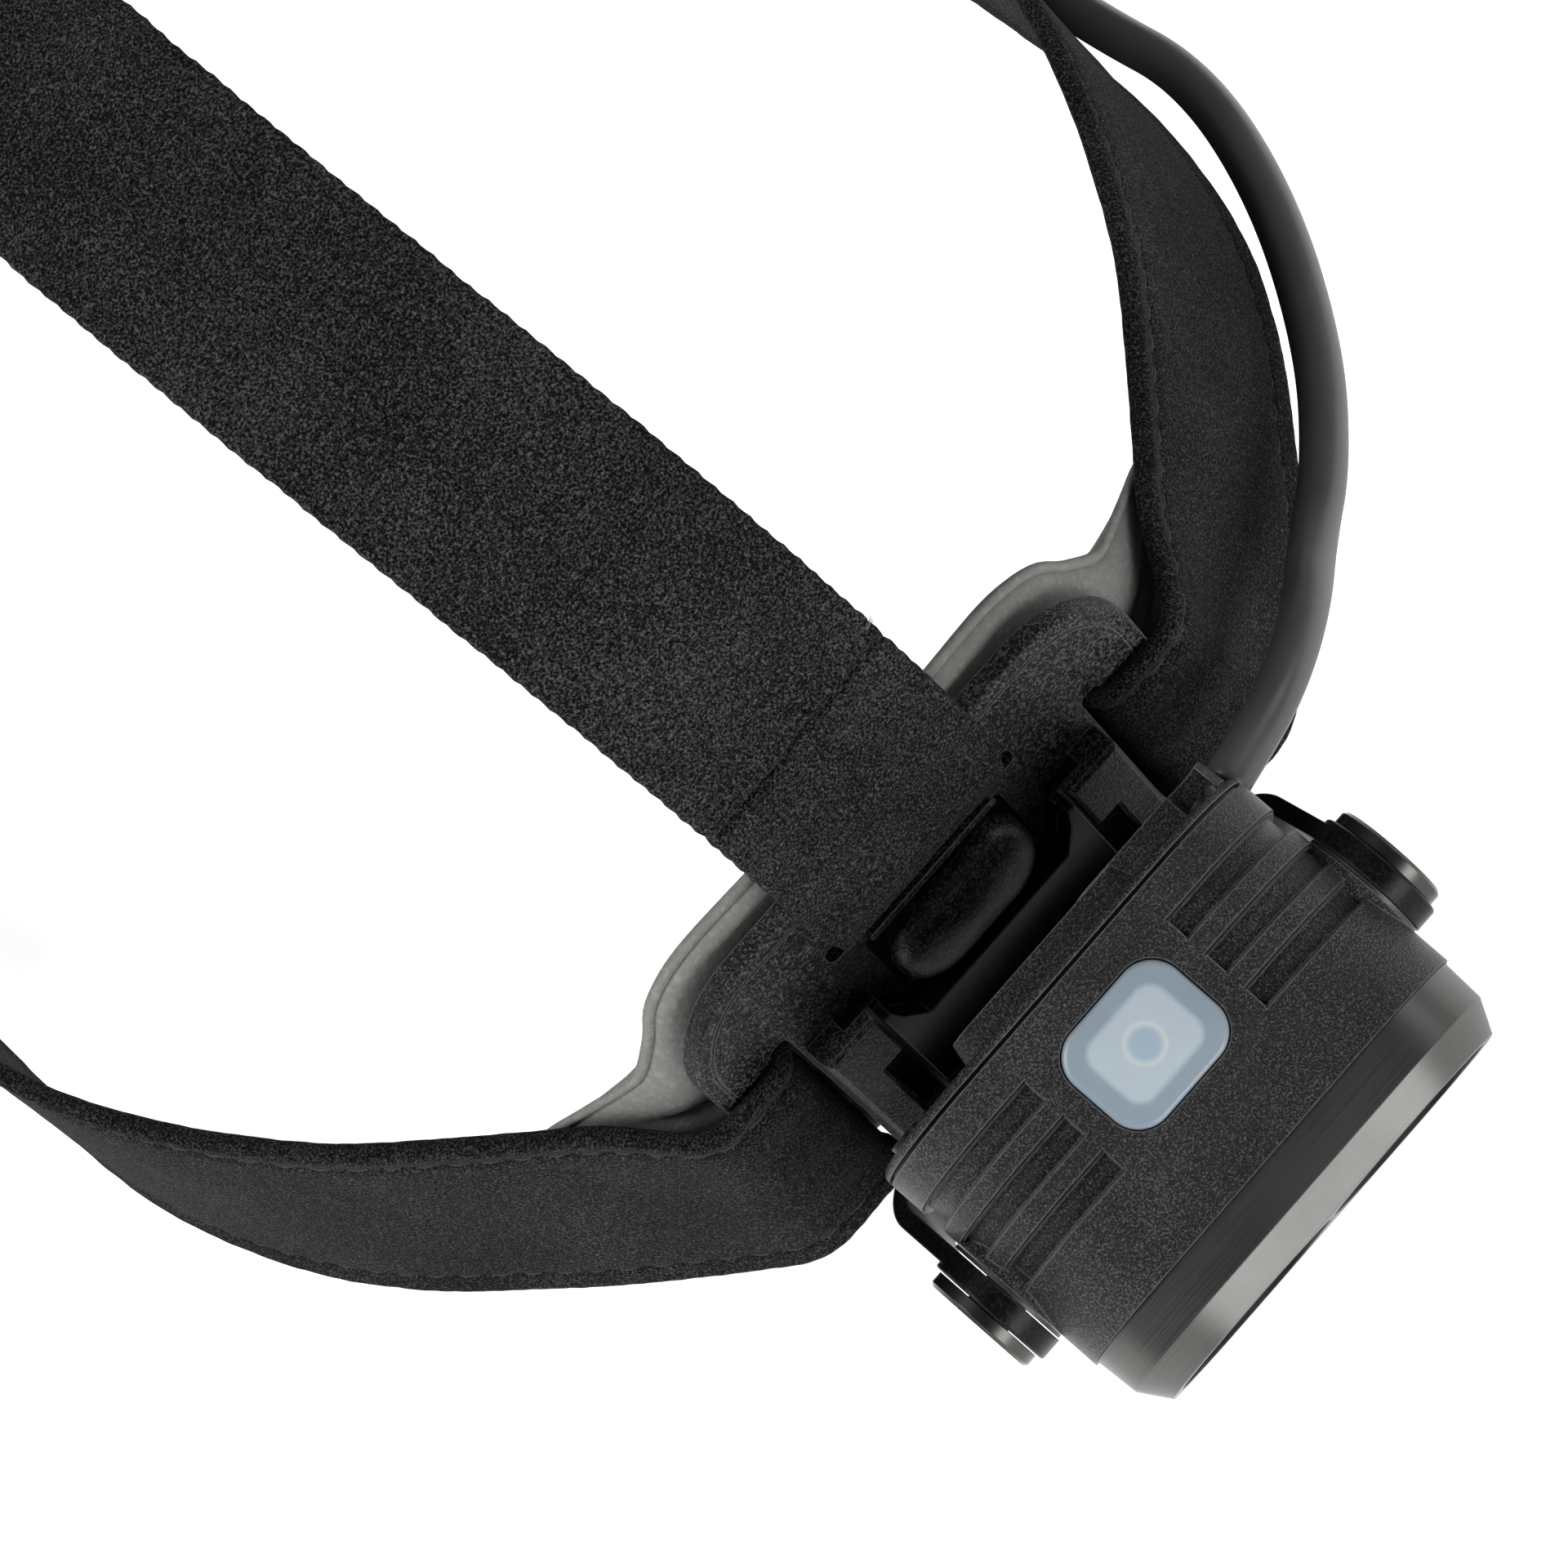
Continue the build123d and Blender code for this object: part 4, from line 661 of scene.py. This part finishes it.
FRONT_HALF = [(0, 30.2), (14, 30.2), (22, 29.4), (27.3, 26.6), (30.3, 21.6), (33.6, 17.2), (39, 14.4),
              (43.6, 12.0), (44.9, 8.5), (44.9, -5.5), (43.6, -9.6), (38, -12.2), (31, -14.8), (22, -16.9),
              (12, -17.2)]
REAR_HALF = [(0, 26.6), (14, 26.6), (22, 26.0), (27.6, 22.0), (29.6, 15.0), (29.6, 5.0), (29.6, -5.0),
             (27.6, -12.0), (22, -15.8), (14, -16.6)]

pad("front_pad_foam", "front_pad", smooth_outline(FRONT_HALF, -17.2, 220), front_sides, (-8.0, 1.5, 11.0))
pad("rear_pad_foam", "rear_pad", smooth_outline(REAR_HALF, -16.6, 180), rear_sides, (-6.0, 5.0, 16.0))


# --- domes: power button, release tongue and charge lights -------------------------------
def rounded_outline(half_x, half_y, corner, count):
    """Points round a rounded rectangle, corners included."""
    out = []
    for k in range(4):
        cx = (half_x - corner) * (1 if k in (0, 3) else -1)
        cy = (half_y - corner) * (1 if k in (0, 1) else -1)
        for t in np.linspace(0, pi / 2, count // 4, endpoint=True):
            out.append((cx + corner * cos(t + k * pi / 2), cy + corner * sin(t + k * pi / 2)))
    return out


def dome(name, origin, axes, half_x, half_y, corner, height, drop, crown, edge, look, body):
    """A low dome over a rounded rectangle. axes are its right, ahead and up; it stands height over origin and
    goes drop below it, its edges are rounded to the radius edge, and its top is crowned."""
    right, ahead, up = axes
    ring = rounded_outline(half_x, half_y, corner, 64)
    count = len(ring)
    flat = 1 - edge / min(half_x, half_y)
    turns = [radians(t) for t in (0, 15, 30, 45, 60, 75, 90)]
    levels = [(1.0, -drop)] + [(1 - (1 - flat) * (1 - cos(t)), height - edge + edge * sin(t)) for t in turns]
    levels += [(flat * s, height + crown * (1 - s ** 2)) for s in (0.88, 0.72, 0.55, 0.38, 0.22, 0.09)]
    points = [origin + right * x * share + ahead * y * share + up * lift
              for share, lift in levels for x, y in ring]
    top, last = len(points), (len(levels) - 1) * count
    points.append(origin + up * (height + crown))
    faces = bands(len(levels), count)
    faces += [(last + j, last + (j + 1) % count, top) for j in range(count)]
    faces.append(tuple(reversed(range(count))))
    if right.cross(ahead).dot(up) < 0:
        faces = flipped(faces)
    return piece(name, points, faces, look, body)


button = dome("power_button_cap", PIVOT + NOSE * BUTTON_Z + CROWN * LID, (NOSE.cross(CROWN), NOSE, CROWN),
              BUTTON_W / 2 - 0.02, BUTTON_L / 2 - 0.02, BUTTON_CORNER, height=0.28, drop=2.6, crown=0.42,
              edge=0.55, look=button_silicone, body="button")
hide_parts("power_button")

low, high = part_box("release_tongue")
tab_middle = (low + high) / 2 * 1000 + Vector((0, 0, -0.4))
tab = dome("release_tongue_tab", Vector((0, high.y * 1000, tab_middle.z)), (X, Z, Vector((0, -1, 0))),
           (high.x - low.x) * 500, (high.z - low.z) * 500, 4.6, height=3.9, drop=0.0, crown=0.35,
           edge=2.3, look=tongue_grain, body="tongue")
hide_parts("release_tongue")

low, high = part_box("battery_button")
key_middle = (low + high) / 2 * 1000
for k in range(4):                                         # charge lights beside the battery's button
    dome(f"charge_light_{k + 1}", Vector((key_middle.x + 9 + 4.2 * k, 125, key_middle.z)),
         (X, Z, Vector((0, 1, 0))), 0.9, 0.9, 0.9, height=0.35, drop=0.1, crown=0.1,
         edge=0.55, look=key_grey, body="band")


# --- cable -------------------------------------------------------------------------------
OUTLET_WAY = Vector((0.94, 0.278, -0.199))
exit_point = PIVOT + X * 24 + CROWN * -2 + NOSE * -16.3
cable_points = [
    exit_point,
    exit_point + OUTLET_WAY * 7.5,
    Vector((37.6, -105.8, 5.3)),
    Vector((43.8, -100.4, 1.5)),
    Vector((49.8, -92.9, -3.9)),
    Vector((57.4, -85.7, -8.0)),
    Vector((67.2, -74.1, -10.8)),
    Vector((77.2, -57.3, -11.4)),
    Vector((82.6, -41.0, -9.8)),
    Vector((CABLE_X, -28.0, CABLE_Z)),
    Vector((CABLE_X, LOOP_Y, CABLE_Z)),
    Vector((CABLE_X, -9.5, CABLE_Z)),
    Vector((CABLE_X + 2.2, -0.5, -8.3)),
    Vector((CABLE_X + 2.6, 14.0, -8.8)),
    Vector((CABLE_X + 2.3, 35.0, -9.4)),
    Vector((CABLE_X + 1.0, 62.0, -9.8)),
    Vector((81.2, 84.0, -9.6)),
    Vector((77.0, 98.0, -9.2)),
    Vector((68.6, 108.6, -8.6)),
    Vector((58.5, 113.6, -8.0)),
    Vector((49.0, 113.6, -8.0)),
]


def spline_line(points):
    """The route's smooth line, as a NURBS spline with those points as its control points."""
    curve = bpy.data.curves.new("cable_route", "CURVE")
    curve.dimensions = "3D"
    spline = curve.splines.new("NURBS")
    spline.points.add(len(points) - 1)
    for spot, p in zip(spline.points, points):
        spot.co = (*(p * MM), 1)
    spline.order_u = 3
    spline.use_endpoint_u = True
    spline.resolution_u = 14
    holder = add("cable_route", curve)
    bpy.context.view_layer.update()
    mesh = bpy.data.meshes.new_from_object(holder.evaluated_get(bpy.context.evaluated_depsgraph_get()))
    line = [v.co.copy() for v in mesh.vertices]
    bpy.data.objects.remove(holder)
    return line


def cable():
    """The round jacket, with a faint moulding line along each side."""
    line = spline_line(cable_points)
    side = Z
    count = 28
    rings = []
    for i, p in enumerate(line):
        ahead = (line[min(i + 1, len(line) - 1)] - line[max(i - 1, 0)]).normalized()
        side = (side - ahead * side.dot(ahead)).normalized()
        other = ahead.cross(side)
        ring = []
        for t in (2 * pi * k / count for k in range(count)):
            r = CABLE_D / 2 + 0.13 * (bell(t, pi / 2, 0.16) + bell(t, 3 * pi / 2, 0.16))
            ring.append(p / MM + side * cos(t) * r * 0.97 + other * sin(t) * r)
        rings.append(ring)
    points, faces = skin(rings)
    made = piece("lamp_cable", points, faces, cable_rubber, None)
    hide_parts("lamp_cable_front", "lamp_cable_side")
    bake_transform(made)


cable()


# --- sewn loop that holds the cable ---------------------------------------------------------
# The webbing's section: y from the loop's middle, and how far out
LOOP_SECTION = ((-4.4, 0.3), (-4.0, 0.4), (-2, 0.42), (0, 0.44), (2, 0.42), (4.0, 0.4), (4.4, 0.3),
                (4.4, -0.2), (4.0, -0.36), (0, -0.4), (-4.0, -0.36), (-4.4, -0.2))


def cable_loop():
    """An omega of webbing round the cable, its two feet sewn to the strap."""
    wall, foot_x = 2.95, SIDE_X + STRAP_T / 2 + 0.5
    foot = (6.0, 5.0, 4.0, 3.4)
    line = [(foot_x, CABLE_Z + z) for z in foot]
    line += [(CABLE_X + wall * cos(t), CABLE_Z + wall * sin(t))
             for t in np.linspace(radians(118), radians(-118), 22)]
    line += [(foot_x, CABLE_Z - z) for z in reversed(foot)]
    rings = []
    for i, (x, z) in enumerate(line):
        ax, az = line[max(0, i - 1)]
        bx, bz = line[min(len(line) - 1, i + 1)]
        out = Vector((-(bz - az), 0, bx - ax)).normalized()
        middle = Vector((x, LOOP_Y, z))
        rings.append([middle + Vector((0, y + 0.1 * sin(i * 2.1), 0)) + out * t for y, t in LOOP_SECTION])
    points, faces = skin(rings)
    made = piece("cable_loop_webbing", points, faces, side_velour)
    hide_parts("cable_loop")

    points, faces = [], []
    for z in (CABLE_Z + 5, CABLE_Z - 5):
        spots = [(Vector((foot_x + 0.42, LOOP_Y - 4 + 0.25 * k, z)), X) for k in range(33)]
        join(points, faces, *seam_stitches(spots, 1.9, 1.4, 0.17))
    piece("cable_loop_stitches", points, faces, thread)


cable_loop()


# --- floor, light and camera ------------------------------------------------------------------
def studio():
    """A pale floor just under the object, a dim white world and four softboxes."""
    floor_look = Look("floor_white", Roughness=0.9, Base_Color=(0.86, 0.86, 0.86, 1),
                      Emission_Color=(1, 1, 1, 1), Emission_Strength=0.85)
    half, z = 6, cad_box[0].z - 0.0005
    mesh = bpy.data.meshes.new("floor")
    mesh.from_pydata([(-half, -half, z), (half, -half, z), (half, half, z), (-half, half, z)], [],
                     [(0, 1, 2, 3)])
    mesh.materials.append(floor_look.material)
    add("floor", mesh)

    world = bpy.data.worlds.new("studio")
    bpy.context.scene.world = world
    world.use_nodes = True
    world.node_tree.nodes["Background"].inputs["Color"].default_value = (1, 1, 1, 1)
    world.node_tree.nodes["Background"].inputs["Strength"].default_value = 0.12

    def softbox(name, spot, target, width, height, power):
        light = bpy.data.lights.new(name, "AREA")
        light.shape = "RECTANGLE"
        light.size, light.size_y, light.energy = width, height, power
        made = add(name, light)
        made.location = spot
        made.rotation_mode = "QUATERNION"
        made.rotation_quaternion = (Vector(target) - Vector(spot)).to_track_quat("-Z", "Y")

    softbox("key", (-0.55, 0.2, 1.15), (0, -0.08, 0), 0.5, 0.5, 10)
    softbox("front", (0.08, -1.2, 0.25), (0, -0.12, 0), 0.7, 0.45, 8)
    softbox("side", (1.1, -0.3, 0.6), (0.02, -0.1, 0), 0.4, 0.5, 1.8)
    softbox("other_side", (-0.9, 0.1, 0.55), (-0.02, -0.1, 0), 0.4, 0.4, 3)


def photo_camera():
    """The photograph's view: from the front and above, rolled, with the lamp low and to the right."""
    azimuth, elevation, roll = radians(-4.07), radians(56.26), radians(-45.22)
    target, distance = Vector((0, -0.117, 0.010)), 0.6019
    off_left, off_up = 0.02921, 0.02111
    back = Vector((sin(azimuth) * cos(elevation), -cos(azimuth) * cos(elevation), sin(elevation)))
    level = Vector((cos(azimuth), sin(azimuth), 0))
    above = back.cross(level)
    right = level * cos(roll) + above * sin(roll)
    up = above * cos(roll) - level * sin(roll)
    spot = target + back * distance - right * off_left + up * off_up
    data = bpy.data.cameras.new("camera")
    data.lens, data.sensor_width = 146.0, 36.0
    data.clip_start = 0.01
    camera = add("camera", data)
    camera.matrix_world = Matrix(((right.x, up.x, back.x, spot.x), (right.y, up.y, back.y, spot.y),
                                  (right.z, up.z, back.z, spot.z), (0, 0, 0, 1)))
    bpy.context.scene.camera = camera


studio()
photo_camera()
bpy.context.scene.view_settings.view_transform = "Standard"
